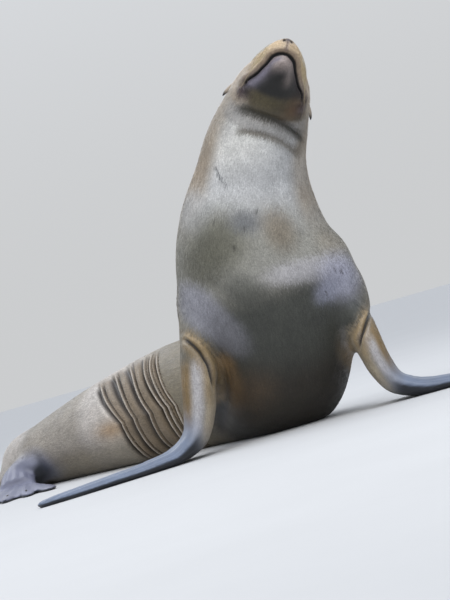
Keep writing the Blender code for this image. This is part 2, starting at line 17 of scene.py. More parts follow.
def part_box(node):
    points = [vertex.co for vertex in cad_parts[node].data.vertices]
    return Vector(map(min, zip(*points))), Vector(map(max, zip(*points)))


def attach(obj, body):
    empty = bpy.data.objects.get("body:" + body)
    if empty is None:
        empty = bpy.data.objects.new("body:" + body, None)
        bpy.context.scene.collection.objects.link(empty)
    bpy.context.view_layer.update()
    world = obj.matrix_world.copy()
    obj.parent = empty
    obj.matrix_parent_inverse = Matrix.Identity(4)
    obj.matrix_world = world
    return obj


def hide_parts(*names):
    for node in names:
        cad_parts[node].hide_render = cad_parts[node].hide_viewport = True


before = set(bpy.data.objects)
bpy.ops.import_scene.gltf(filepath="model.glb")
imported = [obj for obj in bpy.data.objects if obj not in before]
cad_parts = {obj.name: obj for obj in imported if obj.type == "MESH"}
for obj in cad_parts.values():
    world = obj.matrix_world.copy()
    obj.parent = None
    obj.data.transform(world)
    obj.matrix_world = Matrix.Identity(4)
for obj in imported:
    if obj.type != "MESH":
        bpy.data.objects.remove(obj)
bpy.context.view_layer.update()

# ---- sizes
COAT_DEPTH = 0.0012          # the skin lies this far inside the solids
SEAM = 0.0006                # solids grow by this before they are fused
VOXEL = 0.0040               # grain of the fused skin
FLOOR_GRIP = 0.0012          # skin lower than this lies flat on the floor
COATED = ("head", "jaw", "neck", "chest", "abdomen", "hips", "tail",
          "forearm_right", "forearm_left")
BARE = ("foreflipper_right", "foreflipper_left", "hind_flipper_right", "hind_flipper_left")

HEAD_AXIS = np.array(Vector((0.430, -0.650, 0.627)).normalized())    # neck towards nose
EYE_BACK = 0.112             # eyes behind the tip of the nose
EYE_RISE = 0.0235            # eyes above the head's axis
HEAD_END = 0.27              # the head's back end, behind the tip of the nose
BETWEEN_ARMS = 0.13          # X between the two arms

# Middle of the body from nose to tail, and of each limb from root to tip.
SPINE = (
    (0.307, -0.594, 0.769), (0.251, -0.509, 0.688), (0.207, -0.444, 0.624),
    (0.170, -0.408, 0.549), (0.143, -0.388, 0.471), (0.129, -0.372, 0.406),
    (0.133, -0.336, 0.272), (0.105, -0.252, 0.163), (0.063, -0.177, 0.134),
    (-0.101, 0.009, 0.120), (-0.231, 0.119, 0.112), (-0.361, 0.224, 0.100),
    (-0.471, 0.309, 0.084), (-0.561, 0.379, 0.063), (-0.666, 0.459, 0.024),
)
ARM_RIGHT = (
    (0.050, -0.320, 0.335), (-0.019, -0.354, 0.265), (-0.071, -0.400, 0.142),
    (-0.104, -0.428, 0.042), (-0.145, -0.444, 0.019), (-0.286, -0.522, 0.009),
    (-0.433, -0.625, 0.006),
)
ARM_LEFT = (
    (0.200, -0.320, 0.300), (0.269, -0.354, 0.226), (0.305, -0.400, 0.124),
    (0.335, -0.424, 0.039), (0.379, -0.432, 0.018), (0.534, -0.460, 0.009),
    (0.702, -0.504, 0.006),
)
LEG_RIGHT = ((-0.466, 0.279, 0.070), (-0.559, 0.234, 0.036), (-0.568, 0.105, 0.012),
             (-0.577, -0.026, 0.004))
LEG_LEFT = ((-0.431, 0.324, 0.070), (-0.423, 0.414, 0.036), (-0.309, 0.475, 0.012),
            (-0.194, 0.536, 0.004))


# ---- small helpers
def unit(rows):
    return rows / np.linalg.norm(rows, axis=-1, keepdims=True)


def ramp(value, start, stop):
    """0 before start, 1 after stop, smooth in between; start may be the larger."""
    share = np.clip((value - start) / (stop - start), 0.0, 1.0)
    return share * share * (3.0 - 2.0 * share)


def bell(distance, width):
    """1 at distance 0, falling off like a bell of that width."""
    return np.exp(-((distance / width) ** 2))


def between(value, low, high, fade):
    """1 between low and high, fading to 0 outside them."""
    return ramp(value, low - fade, low) * ramp(value, high + fade, high)


def read_rows(parts, key, width, kind=np.float32):
    """One value of every vertex, edge or face, as rows of that width."""
    data = np.empty(len(parts) * width, kind)
    parts.foreach_get(key, data)
    return data.reshape(-1, width)


def read_points(mesh):
    return read_rows(mesh.vertices, "co", 3).astype(float)


def read_normals(mesh):
    return read_rows(mesh.vertex_normals, "vector", 3).astype(float)


def write_points(mesh, points):
    mesh.vertices.foreach_set("co", points.astype(np.float32).ravel())
    mesh.update()


def relax(points, edges, factor, rounds):
    """Move every point towards the mean of its neighbours, by its own factor."""
    count = len(points)
    degree = np.bincount(edges.ravel(), minlength=count)[:, None]
    factor = np.broadcast_to(factor, (count,))[:, None]
    for _ in range(rounds):
        total = np.empty_like(points)
        for axis in range(3):
            line = points[:, axis]
            total[:, axis] = np.bincount(edges[:, 0], line[edges[:, 1]], count)
            total[:, axis] += np.bincount(edges[:, 1], line[edges[:, 0]], count)
        points = points + factor * (total / degree - points)
    return points


def rest_on_floor(points):
    """Lay the points that nearly touch the floor flat on it."""
    points[:, 2] = np.where(points[:, 2] < FLOOR_GRIP, 0.0, points[:, 2])
    return points


def add_object(name, data):
    item = bpy.data.objects.new(name, data)
    bpy.context.scene.collection.objects.link(item)
    return item


def mesh_from(work, name):
    """A new mesh from a finished bmesh, which is freed."""
    mesh = bpy.data.meshes.new(name)
    work.to_mesh(mesh)
    work.free()
    return mesh


def middle(node):
    low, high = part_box(node)
    return np.array((low + high) / 2)


def tree_of(places):
    tree = KDTree(len(places))
    for index, place in enumerate(places):
        tree.insert(place, index)
    tree.balance()
    return tree


def distance_to(points, nodes):
    """Rough distance of every point from the corners and faces of the named solids."""
    spots = []
    for node in nodes:
        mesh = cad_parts[node].data
        spots += [read_points(mesh), read_rows(mesh.polygons, "center", 3)]
    tree = tree_of(np.concatenate(spots))
    return np.array([tree.find(point)[2] for point in points])


# ---- the head's own axes
eye_right = middle("eye_right")
eye_left = middle("eye_left")
HEAD_SIDE = unit(eye_right - eye_left)         # towards the animal's right ear
HEAD_BACK = np.cross(HEAD_SIDE, HEAD_AXIS)     # from the chin up through the crown
NOSE = (eye_right + eye_left) / 2 + HEAD_AXIS * EYE_BACK - HEAD_BACK * EYE_RISE


def head_point(back, side, below):
    """A point in the head: behind the nose, towards the right ear, below the axis."""
    return NOSE - HEAD_AXIS * back + HEAD_SIDE * side - HEAD_BACK * below


def head_places(points):
    """How far points are behind the nose, towards the right ear and below the axis."""
    offset = points - NOSE
    return -offset @ HEAD_AXIS, offset @ HEAD_SIDE, -offset @ HEAD_BACK


# ---- lines of the body
LINE_STEP = 0.006            # between the points of a line


def smooth_line(knots, step):
    """Points about every step along a smooth curve through the knots."""
    knots = np.array(knots, float)
    reach = np.vstack([2 * knots[0] - knots[1], knots, 2 * knots[-1] - knots[-2]])
    line = []
    for k in range(len(knots) - 1):
        before, start, stop, after = reach[k:k + 4]
        count = max(2, int(np.linalg.norm(stop - start) / step))
        for u in np.linspace(0.0, 1.0, count, endpoint=False):
            line.append(0.5 * (
                2 * start + (stop - before) * u
                + (2 * before - 5 * start + 4 * stop - after) * u ** 2
                + (3 * start - before - 3 * stop + after) * u ** 3
            ))
    line.append(knots[-1])
    return np.array(line)


class BodyLine:
    """A curve down the middle of the trunk or a limb, with axes that turn with it."""

    def __init__(self, knots, hints):
        """hints: (distance down the line, direction of the back) at a few places."""
        self.points = smooth_line(knots, LINE_STEP)
        gaps = np.linalg.norm(np.diff(self.points, axis=0), axis=1)
        self.travel = np.concatenate([[0.0], np.cumsum(gaps)])
        self.along = unit(np.gradient(self.points, self.travel, axis=0))
        marks = [mark for mark, _ in hints]
        ways = np.array([way for _, way in hints])
        back = np.stack([np.interp(self.travel, marks, ways[:, k]) for k in range(3)], 1)
        back = back - np.sum(back * self.along, axis=1, keepdims=True) * self.along
        self.back = unit(back)
        self.side = np.cross(self.along, self.back)
        self.tree = tree_of(self.points)

    def straighten(self, points):
        """Distance down the line, offset to the left and offset to the back, the
        direction of the line there, and the distance from it."""
        found = [self.tree.find(point)[1:] for point in points]
        index = np.array([item[0] for item in found])
        away = np.array([item[1] for item in found])
        offset = points - self.points[index]
        down = self.travel[index] + np.sum(offset * self.along[index], axis=1)
        side = np.sum(offset * self.side[index], axis=1)
        back = np.sum(offset * self.back[index], axis=1)
        return np.stack([down, side, back], axis=1), self.along[index], away


UP = (0.0, 0.0, 1.0)
trunk_line = BodyLine(SPINE, (
    (0.00, HEAD_BACK), (0.20, HEAD_BACK), (0.30, (0.1, 0.98, 0.1)),
    (0.60, (-0.1, 0.95, 0.2)), (0.80, (-0.2, 0.6, 0.7)), (0.95, UP), (2.0, UP),
))
TOWARDS_BACK = (0.0, 1.0, 0.2)
limb_lines = (
    BodyLine(ARM_RIGHT, ((0.0, TOWARDS_BACK), (1.0, TOWARDS_BACK))),
    BodyLine(ARM_LEFT, ((0.0, TOWARDS_BACK), (1.0, TOWARDS_BACK))),
    BodyLine(LEG_RIGHT, ((0.0, UP), (1.0, UP))),
    BodyLine(LEG_LEFT, ((0.0, UP), (1.0, UP))),
)
LIMB_RADIUS = (0.085, 0.085, 0.075, 0.075)     # how far each limb reaches from its line
LIMB_STEP = 3.0              # added to a limb's places, times its number, to tell it apart


# ---- the fused skin
WELD = 0.00003               # corners of a solid nearer than this are one
MELT_THICK = 26              # rounds that melt the facets of the thick parts
MELT_ALL = 4                 # and rounds over the whole skin


def fused_skin():
    """One closed skin over all the solids of flesh, with the eyes' places filled."""
    work = bmesh.new()
    for name in COATED + BARE + ("eye_right", "eye_left"):
        piece = bmesh.new()
        piece.from_mesh(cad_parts[name].data)
        bmesh.ops.remove_doubles(piece, verts=piece.verts, dist=WELD)
        piece.normal_update()
        for vert in piece.verts:
            vert.co += vert.normal * SEAM
        grown = mesh_from(piece, "grown")
        work.from_mesh(grown)
        bpy.data.meshes.remove(grown)
    item = add_object("skin", mesh_from(work, "skin"))
    modifier = item.modifiers.new("Remesh", "REMESH")
    modifier.mode = "VOXEL"
    modifier.voxel_size = VOXEL
    modifier.adaptivity = 0.0
    graph = bpy.context.evaluated_depsgraph_get()
    fused = bpy.data.meshes.new_from_object(item.evaluated_get(graph))
    item.modifiers.clear()
    rough = item.data
    item.data = fused
    bpy.data.meshes.remove(rough)
    return item


def smooth_skin(item):
    """Melt the facets of the solids: most on the trunk, least on thin flippers."""
    mesh = item.data
    points = read_points(mesh)
    edges = read_rows(mesh.edges, "vertices", 2, np.int32)
    back, _, _ = head_places(points)
    thin = ramp(distance_to(points, BARE), 0.10, 0.02)
    head = ramp(back, 0.26, 0.16) * (1.0 - thin)
    factor = 0.5 * (1.0 - thin) * (1.0 - 0.55 * head)
    points = relax(points, edges, factor, MELT_THICK)
    points = relax(points, edges, 0.5, MELT_ALL)
    write_points(mesh, points)
    write_points(mesh, rest_on_floor(points - read_normals(mesh) * COAT_DEPTH))


def refine(item, wanted, rounds):
    """Split the faces that touch a point where the wanted function says so."""
    for step in range(rounds):
        mesh = item.data
        chosen = wanted(read_points(mesh), read_normals(mesh), step)
        work = bmesh.new()
        work.from_mesh(mesh)
        work.verts.ensure_lookup_table()
        edges = set()
        for face in work.faces:
            if any(chosen[vert.index] for vert in face.verts):
                edges.update(face.edges)
        bmesh.ops.subdivide_edges(work, edges=list(edges), cuts=1, use_grid_fill=True)
        fine = [vert for vert in work.verts if vert.index < 0 or vert.index >= len(chosen)]
        bmesh.ops.smooth_vert(
            work, verts=fine, factor=0.5,
            use_axis_x=True, use_axis_y=True, use_axis_z=True,
        )
        work.to_mesh(mesh)
        work.free()
        mesh.update()


# ---- folds and creases
# Creases at the arms' roots seen from the front, as (X, Z) down their length.
ARMPIT_RIGHT = ((-0.072, 0.252), (-0.053, 0.231), (-0.041, 0.212), (-0.031, 0.181),
                (-0.031, 0.150), (-0.037, 0.116))
ARMPIT_LEFT = ((0.336, 0.203), (0.322, 0.188), (0.306, 0.171), (0.284, 0.145), (0.274, 0.115))
# Mouth line: distance behind the nose and depth below the head's axis.
MOUTH_LINE = ((0.000, 0.0290), (0.014, 0.0305), (0.020, 0.0320), (0.030, 0.0325),
              (0.055, 0.0330), (0.070, 0.0355), (0.090, 0.0380), (0.104, 0.0415))
MOUTH_CORNER = 0.104         # corner of the mouth behind the nose
MOUTH_DEPTH = 0.0070         # the line between the lips
LIP_OVERHANG = 0.0026        # of the upper lip
JAW_INSET = 0.0044           # of the lower jaw under it
EYE_OPENING = (0.0130, 0.0080)                 # half length and half height
EYE_RADIUS = 0.0162
LID_RADIUS = EYE_RADIUS + 0.0014
CORNEA_BULGE = 0.045         # share of the eye's radius
EYE_WAY = (0.42, 0.87, 0.25)                   # gaze along the head, sideways and up
MUZZLE_FRONT = 0.02          # half width of the front of the muzzle
NOSE_DEPTH = 0.02            # bare front of the nose
NOSTRIL_SIDE = 0.0068        # each nostril beside the middle
NOSTRIL_RISE = 0.001         # and above the head's axis
PAD_BACK = 0.016             # first whiskers behind the nose
PAD_RISE = 0.002             # and above the head's axis
COLUMN_GAP = 0.0070          # between the whiskers' columns
ROW_GAP = 0.0065             # and between their rows
THROAT_FIRST = (0.141, 1.9, 7.2)     # behind the nose, bend to the right and to the left
THROAT_SECOND = (0.180, 6.0, 6.0)
THROAT_ROLL = (0.161, 3.0, 6.6)      # the roll between them
FOLDS = (                    # flank folds: place down the body, width of the groove, start
    (0.985, 0.0055, 0.80), (1.008, 0.0060, 0.62), (1.031, 0.0085, 0.50),
    (1.090, 0.0130, 0.62), (1.150, 0.0120, 0.74), (1.200, 0.0100, 0.92),
)
FOLD_TURN = 1.65             # angle round the body where the folds begin to lean
FOLD_LEAN = 0.095            # how much they lean a radian, from there to the back
FOLD_END = 2.25              # angle where they end, under the body
FOLD_DEPTH = 0.0135          # of the grooves
FOLD_CREST = 0.0026          # height of the crests between them


def line_distance(points, line):
    """Distance from a chain of (X, Z) places seen from the front, the share of its
    length there, and which side of it: 1 to its right, -1 to its left."""
    x, z = points[:, 0], points[:, 2]
    line = np.array(line)
    lengths = np.linalg.norm(np.diff(line, axis=0), axis=1)
    starts = np.concatenate([[0.0], np.cumsum(lengths)])
    best = np.full(len(x), 9.0)
    share = np.zeros(len(x))
    for k, length in enumerate(lengths):
        way = (line[k + 1] - line[k]) / length
        reach = np.clip((x - line[k, 0]) * way[0] + (z - line[k, 1]) * way[1], 0.0, length)
        gap = np.hypot(x - line[k, 0] - way[0] * reach, z - line[k, 1] - way[1] * reach)
        closer = gap < best
        best = np.where(closer, gap, best)
        share = np.where(closer, (starts[k] + reach) / starts[-1], share)
    way = (line[-1] - line[0]) / np.linalg.norm(line[-1] - line[0])
    spot_x = np.interp(share * starts[-1], starts, line[:, 0])
    spot_z = np.interp(share * starts[-1], starts, line[:, 1])
    side = -np.sign((z - spot_z) * way[0] - (x - spot_x) * way[1])
    return best, share, side


def chest_side(points, line):
    """Distance from an arm's crease, positive on the chest, and the share of its length."""
    gap, share, side = line_distance(points, line)
    gap = gap * side
    return (-gap if line is ARMPIT_RIGHT else gap), share


def eye_axes(sign):
    """An eye's centre, its gaze, and its lids' directions: level and rising."""
    centre = eye_right if sign > 0 else eye_left
    gaze = unit(
        HEAD_AXIS * EYE_WAY[0] + HEAD_SIDE * sign * EYE_WAY[1] + HEAD_BACK * EYE_WAY[2]
    )
    level = unit(HEAD_AXIS - gaze * (HEAD_AXIS @ gaze))
    return centre, gaze, level, np.cross(gaze, level) * sign


def eye_places(points, sign):
    """Offset from an eye's centre, and how far that is along its gaze and lids."""
    centre, gaze, level, rise = eye_axes(sign)
    offset = points - centre
    return offset, offset @ gaze, offset @ level, offset @ rise


def mouth_gap(points):
    """Signed distance below the mouth line, and 1 where that line is open."""
    back, _, below = head_places(points)
    line = np.interp(back, *np.transpose(MOUTH_LINE))
    open_share = ramp(back, MOUTH_CORNER + 0.006, MOUTH_CORNER - 0.006)
    near = (back < 0.15) & (below > 0.0)
    return below - line, open_share * near


def shape_lips(points):
    """How far the upper lip hangs over the narrower jaw, with a deep line between."""
    back, side, below = head_places(points)
    gap, share = mouth_gap(points)
    lip = share * (gap < 0) * bell(gap + 0.005, 0.006) * LIP_OVERHANG
    jaw = share * ramp(gap, 0.0, 0.0030) * ramp(gap, 0.028, 0.004) * JAW_INSET
    line = share * bell(gap - 0.0010, 0.0026) * MOUTH_DEPTH
    corner = bell(np.hypot(back - MOUTH_CORNER - 0.004, gap - 0.001), 0.0075)
    corner *= (below > 0) * (np.abs(side) > MUZZLE_FRONT) * 0.0030
    return lip - jaw - line - corner


def nostril_places(side, below, sign):
    """Distance across a nostril's slit, which leans in at its bottom, and down it."""
    down = below + NOSTRIL_RISE
    return side * sign - NOSTRIL_SIDE - 0.25 * down, down


def shape_head(points, normals):
    """Lips, nostrils, the groove under the nose and the pits of the whiskers."""
    moved = points + normals * shape_lips(points)[:, None]
    back, side, below = head_places(points)
    for sign in (-1, 1):
        across, down = nostril_places(side, below, sign)
        slit = bell(across, 0.0022) * bell(down, 0.0050) * (back < NOSE_DEPTH)
        rim = bell(across - 0.004, 0.003) * bell(down, 0.006) * (back < NOSE_DEPTH)
        moved -= HEAD_AXIS * (slit * 0.0060 - rim * 0.0010)[:, None]
    groove = bell(side, 0.0012) * ramp(below, 0.002, 0.008) * ramp(below, 0.036, 0.03)
    moved += -HEAD_AXIS * (groove * (back < 0.03) * 0.0014)[:, None]

    row = (below + PAD_RISE) / ROW_GAP
    column = (back - PAD_BACK) / COLUMN_GAP
    pit = bell((row + 0.5) % 1.0 - 0.5, 0.30) * bell((column + 0.5) % 1.0 - 0.5, 0.30)
    pit *= between(row, 0.0, 4.2, 0.3) * between(column, 0.0, 5.2, 0.3)
    pit *= np.abs(side) > MUZZLE_FRONT
    return moved - normals * (pit * 0.0009)[:, None]


def shape_eyes(points):
    """Lids that wrap the eyeballs, open as an almond."""
    moved = points.copy()
    for sign in (-1, 1):
        offset, out, level, rise = eye_places(points, sign)
        away = np.linalg.norm(offset, axis=1)
        near = (away < 0.034) & (out > 0.0)
        half, tall = EYE_OPENING
        tall = np.where(rise > 0, tall, tall * 0.85)
        share = np.clip(np.abs(level) / half, 0.0, 1.0)
        edge = tall * (1.0 - share ** 2)
        over = np.where(np.abs(level) < half, np.abs(rise) - edge,
                        np.hypot(np.abs(level) - half, rise))
        inside = ramp(over, 0.0004, -0.0008)
        blend = ramp(over, 0.013, 0.002)
        radius = away * (1.0 - blend) + LID_RADIUS * blend
        radius = radius * (1.0 - inside) + (EYE_RADIUS - 0.0035) * inside
        # A shallow trough outside the upper lid.
        radius -= bell(over - 0.0055, 0.0016) * 0.0009 * near
        scale = np.where(near, radius / np.maximum(away, 1e-6), 1.0)
        moved += offset * (scale - 1.0)[:, None]
    return moved


def throat_crease(back, side, crease, width):
    """How near a point is to one of the creases across the throat."""
    place, right_bend, left_bend = crease
    bend = np.where(side > 0, right_bend, left_bend)
    return bell(back - place - bend * side ** 2, width)


def throat_folds(points):
    """How deep the folds under the throat are, in metres."""
    back, side, below = head_places(points)
    under = ramp(below, 0.015, 0.050)
    first = throat_crease(back, side, THROAT_FIRST, 0.0075)
    first *= between(side, -0.072, 0.046, 0.018)
    second = throat_crease(back, side, THROAT_SECOND, 0.0060)
    second *= between(side, -0.076, 0.020, 0.018)
    roll = throat_crease(back, side, THROAT_ROLL, 0.0080)
    roll *= between(side, -0.065, 0.030, 0.020)
    return under * (first * 0.0062 + second * 0.0036 - roll * 0.0022)


def flank_folds(straight):
    """Grooves and crests of the folds across the right flank, and where these show."""
    down, side, back = straight.T
    angle = np.arctan2(-side, back)            # 0 on the back, positive to the right
    down = down + FOLD_LEAN * np.minimum(angle - FOLD_TURN, 0.0)
    down = down + 0.0016 * np.sin(angle * 3.1 + down * 21.0)
    down = down + 0.0005 * np.sin(angle * 9.0 - down * 47.0)
    groove = np.zeros(len(down))
    ridge = np.zeros(len(down))
    for number, (place, wide, start) in enumerate(FOLDS):
        past = down - place + 0.003 * np.sin(angle * 2.0 + number * 1.7)
        here = between(angle, start, FOLD_END, 0.45)
        here = here * (0.84 + 0.16 * np.sin(angle * 4.0 + number))
        hollow = bell(past - 0.0032 - wide * 0.90, wide * 0.85)
        hollow = np.maximum(hollow, 0.75 * bell(past + 0.0036 + wide * 0.35, wide * 0.38))
        groove = np.maximum(groove, here * hollow)
        ridge = np.maximum(ridge, here * bell(past, 0.0030))
    shown = between(down, FOLDS[0][0], FOLDS[-1][0], 0.02)
    shown = shown * between(angle, 0.75, FOLD_END, 0.5)
    return groove, ridge, shown


BENDS = (                    # folds over the back: first, step, number, reach, depth
    (0.185, 0.034, 3, 0.95, 0.0036), (0.690, 0.046, 4, 0.80, 0.0056),
)


def bend_folds(straight):
    """How deep the folds behind the head and between the shoulders are, in metres."""
    down, side, back = straight.T
    angle = np.arctan2(side, back)
    depth = np.zeros(len(down))
    for first, step, count, reach, deep in BENDS:
        phase = (down - first) / step + 0.10 * np.sin(angle * 4.0 + 1.0) + 0.25 * angle ** 2
        cycle = phase - np.round(phase)
        shown = between(phase, -0.4, count - 0.6, 0.5)
        shown *= ramp(np.abs(angle + 0.12 * np.sin(np.round(phase) * 2.0)), reach, reach * 0.45)
        depth += shown * deep * bell(cycle, 0.20)
    return depth


def arm_creases(points, normals):
    """How deep the creases at the roots of the arms are, in metres."""
    front = ramp(-normals[:, 1], -0.1, 0.4)
    depth = np.zeros(len(points))
    for line, fine in ((ARMPIT_RIGHT, 1.0), (ARMPIT_LEFT, 0.6)):
        gap, share = chest_side(points, line)
        ends = ramp(share, 0.0, 0.10) * ramp(share, 1.0, 0.70) * front
        low = between(share, 0.35, 0.90, 0.15)
        depth += ends * bell(gap, 0.0040) * 0.0078
        depth -= ends * bell(gap - 0.0085, 0.0040) * 0.0024
        for step, reach in ((0.0165, 0.0026), (0.0245, 0.0024), (0.0330, 0.0026)):
            depth += ends * low * bell(gap - step - 0.004 * share, reach) * 0.0022 * fine
        depth -= ends * bell(gap + 0.010, 0.007) * 0.0012
    return depth


# Shallow hollows of the chest seen from the front: place, half size, lean and depth.
HOLLOWS = (
    ((0.195, 0.270), (0.090, 0.024), -4, 0.0045),
    ((0.050, 0.285), (0.075, 0.022), -58, 0.0036),
    ((0.150, 0.372), (0.070, 0.026), -8, 0.0026),
    ((0.262, 0.405), (0.028, 0.050), 20, 0.0026),
    ((0.020, 0.405), (0.028, 0.055), -10, 0.0022),
    ((0.150, 0.150), (0.012, 0.080), 0, 0.0018),
    ((-0.026, 0.100), (0.012, 0.050), -16, 0.0070),
)


def chest_hollows(points, normals):
    """How deep the hollows of the chest are, in metres."""
    front = ramp(-normals[:, 1], 0.0, 0.5)
    depth = np.zeros(len(points))
    for place, half, lean, deep in HOLLOWS:
        depth += front * deep * marking(points[:, 0], points[:, 2], place, half, lean, 1.0)
    return depth


def shape_folds(points, normals, straight):
    """Press the folds, creases and hollows into the skin."""
    groove, ridge, shown = flank_folds(straight)
    down, side, back = straight.T
    rough = np.sin(down * 900.0) * np.sin(side * 700.0 + back * 500.0)
    depth = FOLD_CREST * ridge - FOLD_DEPTH * groove + 0.0004 * rough * shown * (1.0 - groove)
    depth -= throat_folds(points) + bend_folds(straight)
    depth -= arm_creases(points, normals) + chest_hollows(points, normals)
    return points + normals * depth[:, None]


# ---- flippers
FLIPPERS = (                 # heel, tip, half width at the heel and at the tip
    (ARM_RIGHT[4], ARM_RIGHT[6], 0.052, 0.022), (ARM_LEFT[4], ARM_LEFT[6], 0.052, 0.022),
    (LEG_RIGHT[1], LEG_RIGHT[3], 0.030, 0.085), (LEG_LEFT[1], LEG_LEFT[3], 0.030, 0.085),
)
DIGITS = 5


def flipper_ridges(points, normals, bare):
    """Fine cords that follow the fingers and toes under the bare skin."""
    rise = np.zeros(len(points))
    for heel, tip, narrow, broad in FLIPPERS:
        start = np.array(heel[:2])
        length = np.linalg.norm(np.array(tip[:2]) - start)
        way = (np.array(tip[:2]) - start) / length
        offset = points[:, :2] - start
        along = offset @ way
        across = offset @ np.array((-way[1], way[0]))
        half = narrow + (broad - narrow) * np.clip(along / length, 0.0, 1.2)
        lane = across / half * (DIGITS - 1) / 2
        near = between(along, 0.0, length + 0.10, 0.04) * (np.abs(lane) < DIGITS / 2)
        cycle = lane - np.round(lane)
        rise += near * (bell(cycle, 0.22) * 0.0013 - bell(np.abs(cycle) - 0.5, 0.12) * 0.0007)
        joint = along / length * 4.0
        rise -= near * bell(joint - np.round(joint), 0.05) * bell(cycle, 0.3) * 0.0006
    return rise * ramp(np.abs(normals[:, 2]), 0.5, 0.9) * bare


# ---- markings, with painted sheen and shade
def linear(red, green, blue):
    """A colour given from 0 to 255, as a shader wants it."""
    rows = np.array((red, green, blue)) / 255.0
    return np.where(rows <= 0.04045, rows / 12.92, ((rows + 0.055) / 1.055) ** 2.4)


FUR = linear(134, 124, 104)          # back and sides, warm brown
TRUNK = linear(190, 183, 177)        # flank behind the folds, pale partly as painted sheen
BREAST = linear(140, 138, 130)
# Pale throat, partly painted sheen of the light from above.
THROAT = linear(222, 220, 214)
PALE = linear(192, 192, 192)         # neck
NECK_EDGE = linear(148, 135, 117)
OLIVE = linear(98, 96, 80)
BLUISH = linear(104, 106, 110)
WARM = linear(130, 120, 104)
DARK = linear(60, 61, 55)            # belly, partly painted shade where it faces down
DEEP = linear(42, 36, 27)            # lowest part of the belly, partly painted shade; also the specks
RUSSET = linear(120, 92, 64)
OCHRE = linear(158, 134, 96)         # rubbed edges of arms and muzzle
PAINTED_SHEEN = linear(178, 175, 177)       # painted sheen of light on the wet coat
SLATE = linear(98, 109, 129)         # bare skin of the flippers
# Painted shade on the undersides of the flippers.
SHADED_SLATE = linear(34, 37, 44)
HIND_SLATE = linear(112, 112, 130)
TAN = linear(198, 174, 140)          # muzzle
CHEEK = linear(182, 166, 146)
CHIN = linear(76, 69, 72)
# Chin's tip: a painted highlight; also a lighter strip along the jaw's left side.
CHIN_TIP = linear(158, 144, 138)
# Dark middle and back of the lower jaw: partly its dark skin, partly painted shade under the
# head.
CHIN_DARK = linear(8, 6, 3)
LAVENDER = linear(116, 111, 126)
LIP = linear(84, 66, 72)
BLACK = linear(16, 14, 15)

# Markings of the chest seen from the front, some of them painted sheen and painted shade:
# colour, place (X, Z), half size, lean in degrees, strength and how crisp their edge is.
MARKINGS = (
    # Pale throat, partly painted sheen.
    (THROAT, (0.155, 0.605), (0.075, 0.060), 0, 0.85, 1.5),
    (NECK_EDGE * (0.82, 0.75, 0.66), (0.076, 0.614), (0.030, 0.120), -30, 0.85, 1.6),
    (PALE, (0.170, 0.520), (0.100, 0.050), 0, 0.55, 1.5),
    (PALE, (0.030, 0.497), (0.034, 0.045), 0, 0.65, 2.0),
    (OLIVE * 0.85, (0.062, 0.425), (0.054, 0.062), 10, 0.85, 1.6),
    (BLUISH * 0.85, (0.124, 0.447), (0.032, 0.024), -20, 0.75, 1.6),
    (WARM * (0.84, 0.80, 0.74), (0.186, 0.412), (0.030, 0.044), 10, 0.75, 1.6),
    (OLIVE * 0.60, (0.010, 0.385), (0.048, 0.050), 0, 0.80, 1.6),
    (WARM * 0.95, (0.292, 0.366), (0.036, 0.034), 0, 0.60, 1.5),
    # Painted sheen: highlights on the wet coat of the chest, in the next five markings.
    (PAINTED_SHEEN, (0.212, 0.316), (0.078, 0.023), -4, 0.88, 1.8),
    (PAINTED_SHEEN * (0.74, 0.77, 0.92), (0.284, 0.286), (0.044, 0.044), 40, 0.88, 1.7),
    (PAINTED_SHEEN * (0.58, 0.62, 0.76), (0.248, 0.262), (0.028, 0.018), 30, 0.75, 1.7),
    (PAINTED_SHEEN * (0.60, 0.62, 0.68), (-0.018, 0.300), (0.070, 0.036), -58, 0.95, 2.6),
    (PAINTED_SHEEN * (0.36, 0.37, 0.40), (0.022, 0.236), (0.056, 0.032), -58, 0.85, 2.2),
    # Darker mid-chest between the sheens, partly painted shade where it faces down.
    (DARK * 1.1, (0.082, 0.305), (0.046, 0.034), -40, 0.75, 1.6),
    (RUSSET * (1.15, 1.28, 1.30), (-0.004, 0.134), (0.026, 0.050), 0, 0.76, 1.7),
    (RUSSET * (1.4, 1.55, 1.5), (0.000, 0.172), (0.018, 0.020), 0, 0.65, 1.6),
    (RUSSET * (0.48, 0.54, 0.60), (0.045, 0.105), (0.044, 0.040), 0, 0.50, 1.3),
)
SPECKS = (                   # small dark marks on the chest: place and half size
    ((0.153, 0.461), 0.0034), ((0.086, 0.401), 0.0036), ((0.289, 0.295), 0.0036),
    ((0.277, 0.303), 0.0026), ((0.118, 0.432), 0.0022), ((0.062, 0.467), 0.0022),
    ((0.246, 0.259), 0.0028),
)
SCAR = ((0.095, 0.571), (0.103, 0.540), (0.108, 0.528))


def marking(x, z, place, half, lean, crisp):
    """A soft leaning oval seen from the front: 1 in its middle, 0 well outside."""
    cos, sin = math.cos(math.radians(lean)), math.sin(math.radians(lean))
    u = ((x - place[0]) * cos + (z - place[1]) * sin) / half[0]
    v = ((z - place[1]) * cos - (x - place[0]) * sin) / half[1]
    return np.exp(-0.7 * (u * u + v * v) ** crisp)


def painted(tone, layers):
    """The tone with each layer's colour put over it by the layer's share."""
    for colour, share in layers:
        share = np.clip(share, 0.0, 1.0)[:, None]
        tone = tone * (1.0 - share) + colour * share
    return tone


def chest_layers(points, front):
    """Markings with painted sheen and shade, specks and the scar of the chest."""
    x, _, z = points.T
    layers = []
    for colour, place, half, lean, share, crisp in MARKINGS:
        layers.append((colour, front * share * marking(x, z, place, half, lean, crisp)))
    for place, half in SPECKS:
        gap = np.hypot(x - place[0], z - place[1])
        layers.append((DEEP * 0.6, 0.95 * front * bell(gap, half)))
    gap, share, _ = line_distance(points, SCAR)
    layers.append((BLUISH * 0.40, 0.90 * front * bell(gap, 0.0022)))
    layers.append((PALE * 1.15, 0.4 * front * bell(gap - 0.004, 0.0016) * (share > 0.1)))
    return layers


